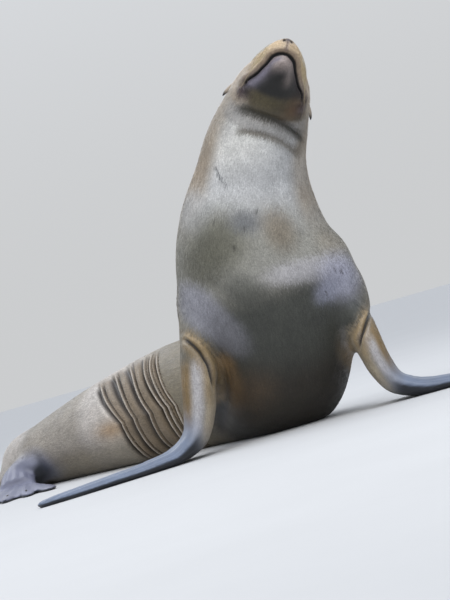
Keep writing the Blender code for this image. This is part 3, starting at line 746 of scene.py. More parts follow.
def paint_trunk(points, normals, straight):
    """Colour of neck, chest and trunk with painted sheen and shade: by place down the body and
    turn round it.
    """
    down, side, back = straight.T
    turn = np.arctan2(side, back)              # 0 on the back, negative to the right
    around = np.abs(turn)
    belly = ramp(around, 1.1, 1.9)
    neck_edge = between(around, 1.20, 2.05, 0.35) * ramp(down, 0.46, 0.34)
    low = ramp(points[:, 2], 0.20, 0.09)
    front = ramp(-normals[:, 1], -0.05, 0.35) * ramp(down, 0.95, 0.80)
    flank = ramp(down, 0.92, 1.02)
    rubbed = np.hypot((down - 1.245) / 0.050, (turn + 1.70) / 0.16)
    layers = [
        (BREAST, belly * ramp(down, 0.70, 0.50)),
        (PALE, ramp(down, 0.46, 0.30) * (0.45 + 0.55 * belly)),
        (NECK_EDGE, 0.95 * neck_edge),
        # Darker underside of chest and belly, and darker still near the floor: partly painted
        # shade.
        (DARK, ramp(down, 0.525, 0.580) * belly * ramp(around, 1.5, 2.3)),
        (DEEP, 0.9 * low * ramp(down, 0.60, 0.70) * belly * (down < 1.0)),
    ]
    layers += chest_layers(points, front)
    layers += [
        (FUR * 0.70, 0.80 * between(down, 0.93, 1.06, 0.08)),
        # Pale flank above, partly painted sheen.
        (TRUNK, 0.85 * flank * ramp(down, 1.00, 1.32)),
        (FUR * 0.80, 0.75 * flank * ramp(around, 1.65, 2.1)),
        (FUR * 0.72, 0.55 * between(down, 1.38, 1.56, 0.06)),
        (OCHRE * (0.88, 0.74, 0.58), 0.70 * bell(rubbed, 1.0)),
    ]
    return painted(np.tile(FUR, (len(points), 1)), layers)


def paint_creases(tone, points, normals, straight):
    """Rubbed ochre edges beside the arms' creases, painted highlights on the crests of the
    flank folds and painted shade in their grooves and in the creases.
    """
    layers = []
    for line, reach in ((ARMPIT_RIGHT, 0.014), (ARMPIT_LEFT, 0.012)):
        gap, share = chest_side(points, line)
        front = ramp(-normals[:, 1], -0.1, 0.5) * between(share, 0.03, 0.98, 0.06)
        layers.append((OCHRE, 0.75 * front * bell(gap - 0.010, reach)))
        layers.append((OCHRE * 0.85, 0.55 * front * bell(gap + 0.012, 0.010)))
    groove, ridge, shown = flank_folds(straight)
    return painted(tone, layers + [
        # Painted shade in the arm creases, the fold grooves and the folds over the back;
        # painted highlight on the fold crests.
        (BLACK * 2.2, ramp(arm_creases(points, normals), 0.0012, 0.0062) * 0.9),
        (FUR * (0.72, 0.62, 0.55), shown * 0.85),
        (FUR * (0.09, 0.06, 0.04), ramp(groove, 0.10, 0.75)),
        (PALE * (0.84, 0.74, 0.62), ramp(ridge, 0.22, 0.75) * 0.92),
        (FUR * 0.45, ramp(bend_folds(straight), 0.001, 0.006) * 0.7),
    ])


def paint_limbs(tone, points, normals, arms, bare):
    """Arms with a painted sheen down their front, rubbed ochre edges and painted shade under
    the right one, and slate flippers with painted shade underneath."""
    x, y, z = points.T
    outward = np.where(x < BETWEEN_ARMS, -normals[:, 0], normals[:, 0])
    front = ramp(-normals[:, 1], 0.20, 0.95)
    shade = marking(x, z, (-0.030, 0.094), (0.013, 0.060), -16, 2.0)
    return painted(tone, [
        (FUR * 0.85, 0.85 * arms),
        (OCHRE * (0.54, 0.48, 0.32), 0.90 * arms * ramp(outward, 0.25, 0.80)),
        (WARM * 2.0, 0.80 * arms * ramp(outward, -0.35, -0.85)),
        # Painted sheen down the front of the arms.
        (PAINTED_SHEEN * 0.88, 0.85 * arms * front * ramp(np.abs(outward), 0.85, 0.10)),
        # Painted shade in the gap between the right arm and the chest.
        (BLACK, shade * ramp(-normals[:, 1], -0.2, 0.2) * ramp(arms, 1.0, 0.80)),
        (SLATE, bare),
        (HIND_SLATE, bare * (y > -0.2) * 0.8),
        # Painted shade on the flippers' undersides.
        (SHADED_SLATE, ramp(bare, 0.3, 0.9) * ramp(normals[:, 2], 0.35, -0.15)),
    ])


def jaw_layers(back, side, below, gap):
    """Dark lower jaw, partly its own skin and partly painted shade under the head, with a
    painted highlight at its tip and lighter along its right edge.
    """
    jaw = (below > 0) * ramp(gap, -0.001, 0.002) * ramp(back, 0.134, 0.104)
    wet = np.hypot((back - 0.082) / 0.042, (side + 0.008) / 0.032)
    rim = bell(gap - 0.011, 0.0065) * ramp(side, 0.0, 0.014) * ramp(back, 0.108, 0.092)
    strip = bell(side + 0.022, 0.010) * between(back, 0.020, 0.055, 0.03)
    return [
        # The jaw's dark colour is partly painted shade under the head.
        (CHIN, jaw),
        # Painted highlight on the chin's tip.
        (CHIN_TIP, jaw * ramp(back, 0.064, 0.022) * 0.85),
        # Darkest middle and back of the jaw: dark skin with painted shade.
        (CHIN_DARK, jaw * ramp(wet, 1.60, 0.65)),
        (CHIN_DARK, jaw * ramp(back, 0.058, 0.090) * 0.97),
        (LAVENDER, jaw * rim * 0.70),
        (CHIN_TIP * 0.8, jaw * strip * 0.45),
    ]


def throat_layers(back, side, below):
    """Painted shade in the hollow behind the jaw and in the two creases across the throat, and
    the pale roll between them.
    """
    throat = ramp(below, 0.015, 0.045)
    hollow = between(back, 0.108, 0.140, 0.018) * throat * ramp(side, 0.062, 0.034)
    roll = throat * between(back, 0.150, 0.180, 0.012)
    first = throat * throat_crease(back, side, THROAT_FIRST, 0.0118)
    second = throat * throat_crease(back, side, THROAT_SECOND, 0.0085)
    rubbed = bell(np.hypot(back - 0.120, side + 0.050), 0.022) * throat
    return [
        (OLIVE * (0.60, 0.49, 0.30), hollow * 0.9),
        (PALE * (0.62, 0.59, 0.56), roll * 0.75),
        # Painted shadow of the jaw along the first crease, painted shade in the second.
        (OLIVE * (0.14, 0.12, 0.08), first * 0.94 * between(side, -0.08, 0.050, 0.02)),
        (WARM * 0.55, second * 0.8 * between(side, -0.08, 0.04, 0.02)),
        (OCHRE * (0.30, 0.20, 0.13), rubbed * 0.70),
    ]


def muzzle_layers(back, side, below, gap, open_share):
    """Lips, the black mouth line and its corner, the nose and the groove under it."""
    corner = bell(np.hypot(back - 0.117, gap * 1.2 - 0.004), 0.014)
    corner = corner * (np.abs(side) > MUZZLE_FRONT) * (below > 0)
    nose = bell(np.hypot(side / 1.4, below + NOSTRIL_RISE), 0.0105) * (back < NOSE_DEPTH)
    groove = bell(side, 0.004) * between(below, 0.008, 0.026, 0.004) * (back < 0.03)
    return [
        (LIP, corner * 0.85),
        (LIP * 0.8, open_share * bell(gap + 0.001, 0.0060) * 0.55),
        # The black mouth line: the lips' dark edge and painted shade in the gap between them.
        (BLACK * 0.7, open_share * ramp(bell(gap - 0.0012, 0.0022), 0.20, 0.75)),
        (LIP * 0.5, nose),
        (LIP, groove * 0.6),
    ]


def paint_head(tone, points):
    """Tan muzzle, dark lower jaw with painted shade and a painted highlight, black mouth line,
    nostrils with painted shade and lid rims.
    """
    back, side, below = head_places(points)
    gap, open_share = mouth_gap(points)
    head = ramp(back, 0.165, 0.120)
    layers = [
        (CHEEK, head * 0.95),
        (TAN, head * ramp(back, 0.085, 0.045) * 0.9),
        (FUR * 0.9, ramp(back, 0.06, 0.12) * ramp(below, -0.02, -0.05) * head * 0.4),
    ]
    layers += jaw_layers(back, side, below, gap)
    layers += throat_layers(back, side, below)
    layers += muzzle_layers(back, side, below, gap, open_share)
    for sign in (-1, 1):
        across, down = nostril_places(side, below, sign)
        slit = bell(across, 0.0028) * bell(down, 0.0060) * (back < NOSE_DEPTH)
        _, out, level, rise = eye_places(points, sign)
        ring = np.hypot(level / 1.5, rise)
        # Painted shade in the nostrils' slits.
        layers.append((BLACK * 0.4, slit))
        layers.append((BLACK * 1.6, ramp(ring, 0.0125, 0.0085) * (out > 0)))
        layers.append((TAN * 1.1, bell(ring - 0.019, 0.005) * (out > 0) * 0.5))
    return painted(tone, layers)


def paint_skin(points, normals, straight, arms, bare):
    """The coat's colour at every point, with its painted sheen and shade, before the fine
    mottling.
    """
    tone = paint_trunk(points, normals, straight)
    tone = paint_limbs(tone, points, normals, arms, bare)
    tone = paint_creases(tone, points, normals, straight)
    return paint_head(tone, points)


# ---- materials
class Nodes:
    """A material whose nodes are added one line at a time."""

    def __init__(self, name):
        self.material = bpy.data.materials.new(name)
        self.material.use_nodes = True
        self.tree = self.material.node_tree
        self.shader = self.tree.nodes["Principled BSDF"]

    def put(self, node, inputs):
        """Give inputs, by name or number, a value or another node's output."""
        for key, value in inputs.items():
            if isinstance(value, bpy.types.Node):
                value = value.outputs[0]
            if isinstance(value, bpy.types.NodeSocket):
                self.tree.links.new(value, node.inputs[key])
            else:
                node.inputs[key].default_value = value

    def add(self, kind, inputs=(), **settings):
        node = self.tree.nodes.new("ShaderNode" + kind)
        for key, value in settings.items():
            setattr(node, key, value)
        self.put(node, dict(inputs))
        return node

    def place(self):
        return self.add("TexCoord").outputs["Object"]

    def attribute(self, name, output="Fac"):
        return self.add("Attribute", attribute_name=name).outputs[output]

    def math(self, operation, first, second):
        return self.add("Math", {0: first, 1: second}, operation=operation).outputs[0]

    def plus(self, first, second):
        return self.math("ADD", first, second)

    def times(self, first, second):
        return self.math("MULTIPLY", first, second)

    def minus(self, first, second):
        return self.math("SUBTRACT", first, second)

    def blend(self, share, first, second, kind="MIX"):
        node = self.add("Mix", data_type="RGBA", blend_type=kind)
        self.put(node, {0: share, 6: first, 7: second})
        return node.outputs[2]

    def shaded(self, colour, by):
        return self.blend(1.0, colour, by, "MULTIPLY")

    def noise(self, vector, scale, detail=3.0, rough=0.55):
        node = self.add("TexNoise", {
            "Vector": vector, "Scale": scale, "Detail": detail, "Roughness": rough,
        })
        return node.outputs["Fac"]

    def stretched(self, vector, scale):
        return self.add("Mapping", {"Vector": vector, "Scale": scale}).outputs[0]

    def remap(self, value, low, high, start, stop):
        return self.add("MapRange", {
            "Value": value, "From Min": low, "From Max": high,
            "To Min": start, "To Max": stop,
        }).outputs[0]

    def bumps(self, height, distance, strength):
        return self.add("Bump", {
            "Height": height, "Distance": distance, "Strength": strength,
        })

    def finish(self, **values):
        self.put(self.shader, {key.replace("_", " "): entry for key, entry in values.items()})
        return self.material


def grey(value):
    return (value, value, value, 1.0)


def coat_material():
    n = Nodes("coat")
    place = n.place()
    body = n.attribute("lie_body", "Vector")
    limb = n.attribute("lie_limb", "Vector")
    on_limb = n.attribute("on_limb")
    bare = n.attribute("bare")

    def combed(scale, detail):
        """Noise drawn out along the lie of the coat, on the trunk and on the limbs."""
        down_body = n.noise(n.stretched(body, scale), 1.0, detail, 0.6)
        down_limb = n.noise(n.stretched(limb, scale), 1.0, detail, 0.6)
        return n.plus(n.times(down_body, n.minus(1.0, on_limb)), n.times(down_limb, on_limb))

    cloud = n.noise(place, 9.0, 4.0)
    blotch = n.noise(place, 34.0, 3.0)
    grain = combed((70.0, 420.0, 420.0), 3.0)
    strand = combed((160.0, 1300.0, 1300.0), 2.0)
    fleck = n.noise(place, 330.0, 2.0)

    colour = n.attribute("tone", "Color")
    colour = n.shaded(colour, n.remap(cloud, 0.3, 0.7, 0.82, 1.16))
    colour = n.shaded(colour, n.remap(blotch, 0.3, 0.7, 0.90, 1.09))
    furry = n.minus(1.0, bare)
    streak = n.blend(furry, grey(1.0), n.remap(grain, 0.3, 0.7, 0.84, 1.16))
    colour = n.shaded(colour, streak)
    speck = n.blend(furry, grey(1.0), n.remap(fleck, 0.35, 0.65, 0.86, 1.12))
    colour = n.shaded(colour, speck)

    gloss = n.remap(n.plus(cloud, blotch), 0.7, 1.3, 0.40, 0.58)
    gloss = n.minus(gloss, n.times(bare, 0.06))
    height = n.plus(n.times(grain, 0.7), n.times(strand, 0.45))
    height = n.times(height, n.remap(bare, 0.0, 1.0, 1.0, 0.25))
    height = n.plus(height, n.times(blotch, 0.5))
    return n.finish(
        Base_Color=colour, Roughness=gloss, Normal=n.bumps(height, 0.0016, 0.55),
        IOR=1.45, Sheen_Weight=0.08, Sheen_Roughness=0.4,
        Coat_Weight=0.12, Coat_Roughness=0.32,
    )


def eye_material():
    n = Nodes("eye")
    gaze = n.attribute("gaze")
    veins = n.noise(n.place(), 900.0, 3.0)
    ring = n.add("ValToRGB", {"Fac": gaze})
    stops = ring.color_ramp.elements
    stops[0].position, stops[0].color = 0.0, (*linear(120, 104, 96), 1.0)
    stops[1].position, stops[1].color = 1.0, (0.002, 0.002, 0.002, 1.0)
    for spot, colour in ((0.72, linear(70, 48, 36)), (0.78, linear(44, 26, 16)),
                         (0.90, linear(58, 34, 20)), (0.93, (0.003, 0.002, 0.002))):
        stops.new(spot).color = (*colour, 1.0)
    colour = n.shaded(ring.outputs[0], n.remap(veins, 0.3, 0.7, 0.8, 1.2))
    return n.finish(Base_Color=colour, Roughness=0.06, IOR=1.38,
                    Coat_Weight=1.0, Coat_Roughness=0.02)


def horn_material(name, colour, tip, roughness):
    """Claws and whiskers: another colour towards the tip, with a fine mottle."""
    n = Nodes(name)
    mottle = n.noise(n.place(), 700.0)
    shade = n.blend(n.attribute("reach"), (*colour, 1.0), (*tip, 1.0))
    shade = n.shaded(shade, n.remap(mottle, 0.3, 0.7, 0.85, 1.15))
    return n.finish(Base_Color=shade, Roughness=roughness, Normal=n.bumps(mottle, 0.0002, 0.4))


ATTRIBUTE_KEYS = {"FLOAT": "value", "FLOAT_VECTOR": "vector", "FLOAT_COLOR": "color"}


def set_attribute(mesh, name, kind, values):
    layer = mesh.attributes.new(name, kind, "POINT")
    if kind == "FLOAT_COLOR":
        values = np.column_stack([values, np.ones(len(values))])
    layer.data.foreach_set(ATTRIBUTE_KEYS[kind], values.astype(np.float32).ravel())


def set_coat(mesh, tone, body, limb, on_limb, bare):
    """Give a mesh what the coat's material reads."""
    set_attribute(mesh, "tone", "FLOAT_COLOR", tone)
    set_attribute(mesh, "lie_body", "FLOAT_VECTOR", body)
    set_attribute(mesh, "lie_limb", "FLOAT_VECTOR", limb)
    set_attribute(mesh, "on_limb", "FLOAT", on_limb)
    set_attribute(mesh, "bare", "FLOAT", bare)


def finish_mesh(item, material):
    item.data.materials.clear()
    item.data.materials.append(material)
    item.data.polygons.foreach_set("use_smooth", [True] * len(item.data.polygons))
    item.data.update()


# ---- eyes, ears, claws
def tube_faces(first, rings, count):
    """Four-sided faces between rings of that many points, numbered from first."""
    faces = []
    for low in range(first, first + (rings - 1) * count, count):
        for k in range(count):
            nxt = (k + 1) % count
            faces.append((low + k, low + nxt, low + count + nxt, low + count + k))
    return faces


def tube_mesh(name, rings, shares):
    """Closed mesh over a row of rings, with a reach attribute from root to tip."""
    count = len(rings[0])
    points = [rings[0].mean(axis=0)] + [p for ring in rings for p in ring]
    points.append(rings[-1].mean(axis=0))
    last = 1 + (len(rings) - 1) * count
    faces = [(0, 1 + (k + 1) % count, 1 + k) for k in range(count)]
    faces += tube_faces(1, len(rings), count)
    faces += [(len(points) - 1, last + k, last + (k + 1) % count) for k in range(count)]
    mesh = bpy.data.meshes.new(name)
    mesh.from_pydata([tuple(p) for p in points], [], faces)
    reach = [shares[0]] + [share for share in shares for _ in range(count)] + [shares[-1]]
    set_attribute(mesh, "reach", "FLOAT", np.array(reach))
    work = bmesh.new()
    work.from_mesh(mesh)
    bmesh.ops.recalc_face_normals(work, faces=work.faces)
    work.to_mesh(mesh)
    work.free()
    return mesh


def make_eye(side, sign, material):
    """A wet eyeball whose cornea bulges a little along the gaze."""
    work = bmesh.new()
    bmesh.ops.create_uvsphere(work, u_segments=64, v_segments=40, radius=EYE_RADIUS)
    mesh = mesh_from(work, "eyeball_" + side)
    centre, gaze, _, _ = eye_axes(sign)
    points = read_points(mesh)
    ahead = points @ gaze / EYE_RADIUS
    points = points * (1.0 + CORNEA_BULGE * ramp(ahead, 0.80, 0.95))[:, None]
    write_points(mesh, points + centre)
    set_attribute(mesh, "gaze", "FLOAT", np.clip(ahead, 0.0, 1.0))
    item = add_object("eyeball_" + side, mesh)
    finish_mesh(item, material)
    return item


# Behind the nose, towards the right ear and below the head's axis.
EAR_ROOT = (0.144, 0.0740, -0.020)
EAR_TIP = (0.180, 0.0925, -0.008)
EAR_WIDTH = 0.0078
EAR_THICKNESS = 0.0016       # at its root
EAR_CURL = 2.75              # half the angle that the leaf is rolled through at its root
EAR_ARCH = 0.0035            # how far the ear bows out from the head
EAR_BARE = 0.3               # how thin its coat is


def make_ear(side, sign):
    """A leaf rolled into a pointed tube that lies back along the head."""
    root = head_point(EAR_ROOT[0], sign * EAR_ROOT[1], EAR_ROOT[2])
    tip = head_point(EAR_TIP[0], sign * EAR_TIP[1], EAR_TIP[2])
    along = unit(tip - root)
    out = unit(np.cross(along, HEAD_BACK)) * -sign
    flat = np.cross(along, out)
    length = np.linalg.norm(tip - root)
    rings = []
    shares = np.linspace(0.0, 1.0, 22)
    for share in shares:
        wide = EAR_WIDTH * (0.80 + 0.35 * share) * math.sqrt(max(0.02, 1.0 - share ** 2.6))
        thick = EAR_THICKNESS * (1.0 - 0.5 * share)
        curl = EAR_CURL * (1.0 - 0.35 * share)
        turn = np.linspace(-curl, curl, 17)
        outer = np.stack([np.cos(turn) * 0.62, np.sin(turn)], 1) * wide
        inner = outer * (1.0 - thick / wide)
        loop = np.concatenate([outer, inner[::-1]])
        spot = root + along * length * share + out * EAR_ARCH * math.sin(share * 2.2)
        rings.append(spot + np.outer(loop[:, 0], out) + np.outer(loop[:, 1], flat))
    return add_object("ear_flap_" + side, tube_mesh("ear_flap_" + side, rings, shares))


NAIL_HALF = (0.0085, 0.0027, 0.0021)           # half length, width and height
NAIL_ARCH = 0.0007


def make_claw(name, node, foot_way, material):
    """A smooth, slightly arched nail in place of the plain solid."""
    low, high = (np.array(corner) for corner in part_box(node))
    centre = (low + high) / 2
    half, wide, tall = NAIL_HALF
    across = np.cross(UP, foot_way)
    turn = np.linspace(0.0, 2 * math.pi, 16, endpoint=False)
    rings = []
    shares = np.linspace(0.0, 1.0, 12)
    for share in shares:
        taper = math.sqrt(max(0.03, 1.0 - share ** 2.2))
        arch = NAIL_ARCH * math.sin(math.pi * share)
        spot = centre + foot_way * half * (2 * share - 1) + np.array(UP) * arch
        rings.append(
            spot + np.outer(np.cos(turn), across) * wide * taper
            + np.outer(np.sin(turn), UP) * tall * taper
        )
    item = add_object(name, tube_mesh(name, rings, shares))
    finish_mesh(item, material)
    return item


# ---- whiskers
WHISKER_COLUMNS = (5, 6, 6, 6, 5)              # whiskers in each row, from the top
WHISKER_LENGTH = 0.045       # of the first in the top row
COLUMN_GROWTH = 0.019        # longer by this in each column
ROW_GROWTH = 0.004           # and in each row
WHISKER_THICK = 0.00036      # radius at the root
WHISKER_THIN = 0.00008       # and at the tip
STRAND_SIDES = 5


def make_whiskers(side, sign, surface, chance, material):
    """Long tapering bristles that leave the pad and bend back along the cheek."""
    points, faces, reach = [], [], []
    for row, columns in enumerate(WHISKER_COLUMNS):
        fan = (row - 2.0) * 0.16
        bend = unit(-HEAD_AXIS - HEAD_SIDE * sign * 0.12 - HEAD_BACK * (0.10 + 0.2 * fan))
        for column in range(columns):
            behind = PAD_BACK + COLUMN_GAP * column + chance.uniform(-0.001, 0.001)
            below = -PAD_RISE + ROW_GAP * row + 0.02 * (behind - 0.03)
            start = head_point(behind, sign * 0.09, below)
            place, out, _, _ = surface.ray_cast(Vector(start), Vector(-HEAD_SIDE * sign))
            if place is None:
                continue
            root = np.array(place) - np.array(out) * 0.001
            length = WHISKER_LENGTH + COLUMN_GROWTH * column + ROW_GROWTH * row
            length = length + chance.uniform(-0.008, 0.008)
            way = unit(
                HEAD_SIDE * sign * 0.60 - HEAD_AXIS * (0.45 + 0.10 * column) - HEAD_BACK * fan
            )
            curve = []
            for u in np.linspace(0.0, 1.0, 14):
                curve.append(root + length * (way * (u - 0.5 * u ** 2) + bend * 0.55 * u ** 2))
            add_strand(points, faces, reach, np.array(curve))
    mesh = bpy.data.meshes.new("whiskers_" + side)
    mesh.from_pydata([tuple(p) for p in points], [], faces)
    set_attribute(mesh, "reach", "FLOAT", np.array(reach))
    item = add_object("whiskers_" + side, mesh)
    finish_mesh(item, material)
    return item


def add_strand(points, faces, reach, curve):
    """A whisker's tube along the curve, closed at both ends."""
    along = unit(np.gradient(curve, axis=0))
    across = unit(np.cross(along, HEAD_BACK + 0.01))
    lift = np.cross(across, along)
    base = len(points)
    for k, spot in enumerate(curve):
        share = k / (len(curve) - 1)
        radius = WHISKER_THICK + (WHISKER_THIN - WHISKER_THICK) * share
        for j in range(STRAND_SIDES):
            turn = 2 * math.pi * j / STRAND_SIDES
            points.append(
                spot + (across[k] * math.cos(turn) + lift[k] * math.sin(turn)) * radius
            )
            reach.append(share)
    faces += tube_faces(base, len(curve), STRAND_SIDES)
    faces.append(tuple(range(base + STRAND_SIDES - 1, base - 1, -1)))
    faces.append(tuple(range(len(points) - STRAND_SIDES, len(points))))


# ---- tufts of the coat
TUFT_SPAN = 0.0030           # width of a tuft's patch on the OFBake map
TUFTS = (                    # piece, start and end down the body line, on a limb, number
    ("coat_head", -0.05, 0.200, False, 17000),
    ("coat_neck", 0.200, 0.420, False, 15000),
    ("coat_chest", 0.420, 0.760, False, 17000),
    ("coat_trunk", 0.760, 1.180, False, 15000),
    ("coat_hips", 1.180, 2.200, False, 14000),
    ("coat_limbs", -0.05, 2.200, True, 12000),
)
BODY_LENGTH = 1.80           # nose to tail along the body line, with room to spare
LIMB_LENGTH = 0.90           # root to tip along a limb's line, likewise
TUFT_FLOOR = 0.0002          # no tuft reaches lower than this
TUFT_LENGTH = 0.0095         # longest, on the trunk
# A tuft's faces, by its corners: three at the root, three halfway and the tip.
TUFT_FACES = ((0, 1, 4), (0, 4, 3), (0, 3, 5), (0, 5, 2), (1, 2, 5), (1, 5, 4), (0, 2, 1),
              (3, 4, 6), (3, 6, 5), (4, 5, 6))
TUFT_CORNERS = 7
TUFT_REACH = (0.0, 0.0, 0.0, 0.5, 0.5, 0.5, 1.0)         # how far out each corner is
TUFT_PATCH = ((-0.5, -0.5), (0.5, -0.5), (0.0, -0.5), (-0.5, 0.0), (0.5, 0.0), (0.0, 0.0),
              (0.0, 0.5))


def coat_share(points, normals, straight, bare):
    """How thickly tufts stand, and how far they lift, at every point of the skin."""
    back, side, below = head_places(points)
    thick = 1.0 - ramp(bare, 0.25, 0.60)
    thick = thick * (1.0 + 2.2 * ramp(back, 0.24, 0.12))
    gap, open_share = mouth_gap(points)
    thick = thick * (1.0 - open_share * bell(gap, 0.0060))
    jaw = ramp(gap, 0.0, 0.004) * ramp(back, 0.130, 0.085) * (below > 0)
    thick = thick * (1.0 - 0.85 * jaw)
    nose = np.hypot(side / 1.5, below) < 0.0125
    thick = np.where(nose & (back < 0.022), 0.0, thick)
    for sign in (-1, 1):
        _, out, level, rise = eye_places(points, sign)
        ring = np.hypot(level / 1.35, rise)
        thick = np.where((ring < 0.0125) & (out > 0), 0.0, thick)
    groove, ridge, _ = flank_folds(straight)
    groove = np.maximum(groove, ridge)
    groove = np.maximum(groove, ramp(bend_folds(straight), 0.0010, 0.0040))
    creased = ramp(arm_creases(points, normals), 0.001, 0.004)
    thick = thick * ramp(groove, 0.35, 0.08) * (1.0 - creased)
    thick = np.where((points[:, 2] < 0.006) & (normals[:, 2] < -0.4), 0.0, thick)
    angle = np.abs(np.arctan2(straight[:, 1], straight[:, 2]))
    nape = between(straight[:, 0], 0.15, 0.60, 0.08) * ramp(angle, 1.9, 1.2)
    cheek = between(back, 0.10, 0.20, 0.03) * between(angle, 1.0, 2.1, 0.4)
    lift = 0.0003 + 0.0010 * nape + 0.0022 * cheek
    return thick, lift


def tuft_sizes(points, normals, straight, bare, lift):
    """Lengths of the tufts: shorter towards the nose, the flippers and the creases."""
    back, _, below = head_places(points)
    gap, open_share = mouth_gap(points)
    size = TUFT_LENGTH - 0.0015 * ramp(back, 0.34, 0.22) - 0.0022 * ramp(back, 0.16, 0.06)
    size = size - 0.0018 * ramp(back, 0.05, 0.02) - 0.0030 * ramp(bare, 0.0, 0.5)
    jaw = (below > 0) * ramp(gap, -0.001, 0.003) * ramp(back, 0.14, 0.10)
    size = size * (1.0 - 0.45 * jaw) + lift * 1.5
    _, _, shown = flank_folds(straight)
    crease = np.maximum(0.7 * shown, open_share * bell(gap, 0.010))
    for line in (ARMPIT_RIGHT, ARMPIT_LEFT):
        away, _, _ = line_distance(points, line)
        crease = np.maximum(crease, ramp(away, 0.020, 0.006) * (normals[:, 1] < 0.3))
    return size * (1.0 - 0.45 * crease)


def scatter(mesh, weights, count, chance):
    """Random places on the triangles, as corner numbers and their shares."""
    corners = read_rows(mesh.loop_triangles, "vertices", 3, np.int32)
    area = read_rows(mesh.loop_triangles, "area", 1)[:, 0]
    chances = np.cumsum(area * weights[corners].mean(axis=1))
    drawn = chance.random(count) * chances[-1]
    picked = corners[np.searchsorted(chances, drawn)]
    first, second = chance.random(count), chance.random(count)
    flip = first + second > 1.0
    first, second = np.where(flip, 1.0 - first, first), np.where(flip, 1.0 - second, second)
    return picked, np.stack([1.0 - first - second, first, second], 1)


def at_roots(values, picked, shares):
    """Values of the skin's corners blended at the roots."""
    rows = values[picked]
    if rows.ndim == 3:
        shares = shares[:, :, None]
    return (rows * shares).sum(axis=1)


def on_surface(surface, places):
    """Nearest places on the skin and the way out of it there."""
    found = np.empty((len(places), 3))
    out = np.empty((len(places), 3))
    for k, place in enumerate(places):
        found[k], out[k], _, _ = surface.find_nearest(Vector(place))
    return found, out


def tuft_points(root, out, way, long, wide, lift, surface):
    """Corners and their normals of a thin pointed blade lying along the skin."""
    across = unit(np.cross(out, way))
    half, half_out = on_surface(surface, root + way * long * 0.5)
    tip, tip_out = on_surface(surface, root + way * long)
    half = half + half_out * (0.00020 + lift * 0.45)
    tip = tip + tip_out * (0.0001 + lift)
    low = root - out * 0.0006
    points = np.stack([
        low - across * wide * 0.40, low + across * wide * 0.40, low + out * 0.0007,
        half - across * wide * 0.50, half + across * wide * 0.50, half + half_out * 0.00025,
        tip,
    ], 1)
    round_off = across * 0.30
    facing = np.stack([
        out - round_off, out + round_off, out,
        half_out - round_off, half_out + round_off, half_out, tip_out,
    ], 1)
    return points, unit(facing)


def bake_places(straight, limb, on_limb):
    """A tuft's place on the skin's own unwrap: along the body or limb, and round it."""
    round_body = np.arctan2(straight[:, 1], straight[:, 2]) / (2 * math.pi) + 0.5
    body = np.stack([
        0.02 + 0.96 * np.clip(straight[:, 0] / BODY_LENGTH, 0.0, 1.0),
        0.02 + 0.60 * round_body,
    ], 1)
    number = np.clip(np.round(limb[:, 0] / LIMB_STEP), 1, 4)
    places = limb - LIMB_STEP * number[:, None]
    round_limb = np.arctan2(places[:, 1], places[:, 2]) / (2 * math.pi) + 0.5
    arm = np.stack([
        0.02 + 0.24 * (number - 1) + 0.22 * np.clip(places[:, 0] / LIMB_LENGTH, 0.0, 1.0),
        0.66 + 0.32 * round_limb,
    ], 1)
    return np.where((on_limb > 0.5)[:, None], arm, body)


def tuft_mesh(name, points):
    """Mesh over rows of tufts' corners, and the corner that each of its loops uses."""
    count = len(points)
    faces = np.arange(count)[:, None, None] * TUFT_CORNERS + np.array(TUFT_FACES)[None]
    mesh = bpy.data.meshes.new(name)
    mesh.vertices.add(count * TUFT_CORNERS)
    mesh.vertices.foreach_set("co", points.astype(np.float32).ravel())
    mesh.loops.add(faces.size)
    mesh.loops.foreach_set("vertex_index", faces.astype(np.int32).ravel())
    mesh.polygons.add(faces.size // 3)
    mesh.polygons.foreach_set("loop_start", np.arange(0, faces.size, 3, dtype=np.int32))
    mesh.update(calc_edges=True)
    return mesh, faces.ravel()


def make_tufts(name, skin, looks, weights, count, surface, chance, material):
    """One joined mesh of tufts that carry the looks of the skin at their roots."""
    picked, shares = scatter(skin.data, weights, count, chance)
    root, out, way, lift, size, tone, body, limb, on_limb, bare = (
        at_roots(values, picked, shares) for values in looks
    )
    out = unit(out)
    turn = chance.normal(0.0, 0.09, (count, 1))
    way = unit(way - out * (way * out).sum(axis=1, keepdims=True))
    way = way * np.cos(turn) + np.cross(out, way) * np.sin(turn)
    long = size * chance.uniform(0.75, 1.25, count)
    wide = long * chance.uniform(0.13, 0.20, count)
    lift = lift[:, None] * chance.uniform(0.5, 1.5, (count, 1))
    points, facing = tuft_points(root, out, way, long[:, None], wide[:, None], lift, surface)
    points[:, :, 2] = np.maximum(points[:, :, 2], TUFT_FLOOR)
    mesh, corners = tuft_mesh(name, points)

    tone = tone * chance.uniform(0.93, 1.07, (count, 1))
    tones, bodies, limbs, on_limbs, bares = (
        np.repeat(values, TUFT_CORNERS, axis=0) for values in (tone, body, limb, on_limb, bare)
    )
    step = np.tile(TUFT_REACH, count) * np.repeat(long, TUFT_CORNERS)
    bodies[:, 0] += step
    limbs[:, 0] += step
    set_coat(mesh, tones, bodies, limbs, on_limbs, bares)
    places = bake_places(body, limb, on_limb)
    spread = (places[:, None] + (np.array(TUFT_PATCH) * TUFT_SPAN)[None]).reshape(-1, 2)
    mesh.uv_layers.new(name="OFBake").data.foreach_set(
        "uv", spread[corners].astype(np.float32).ravel()
    )
    item = add_object(name, mesh)
    finish_mesh(item, material)
    mesh.normals_split_custom_set_from_vertices(facing.reshape(-1, 3))
    return item


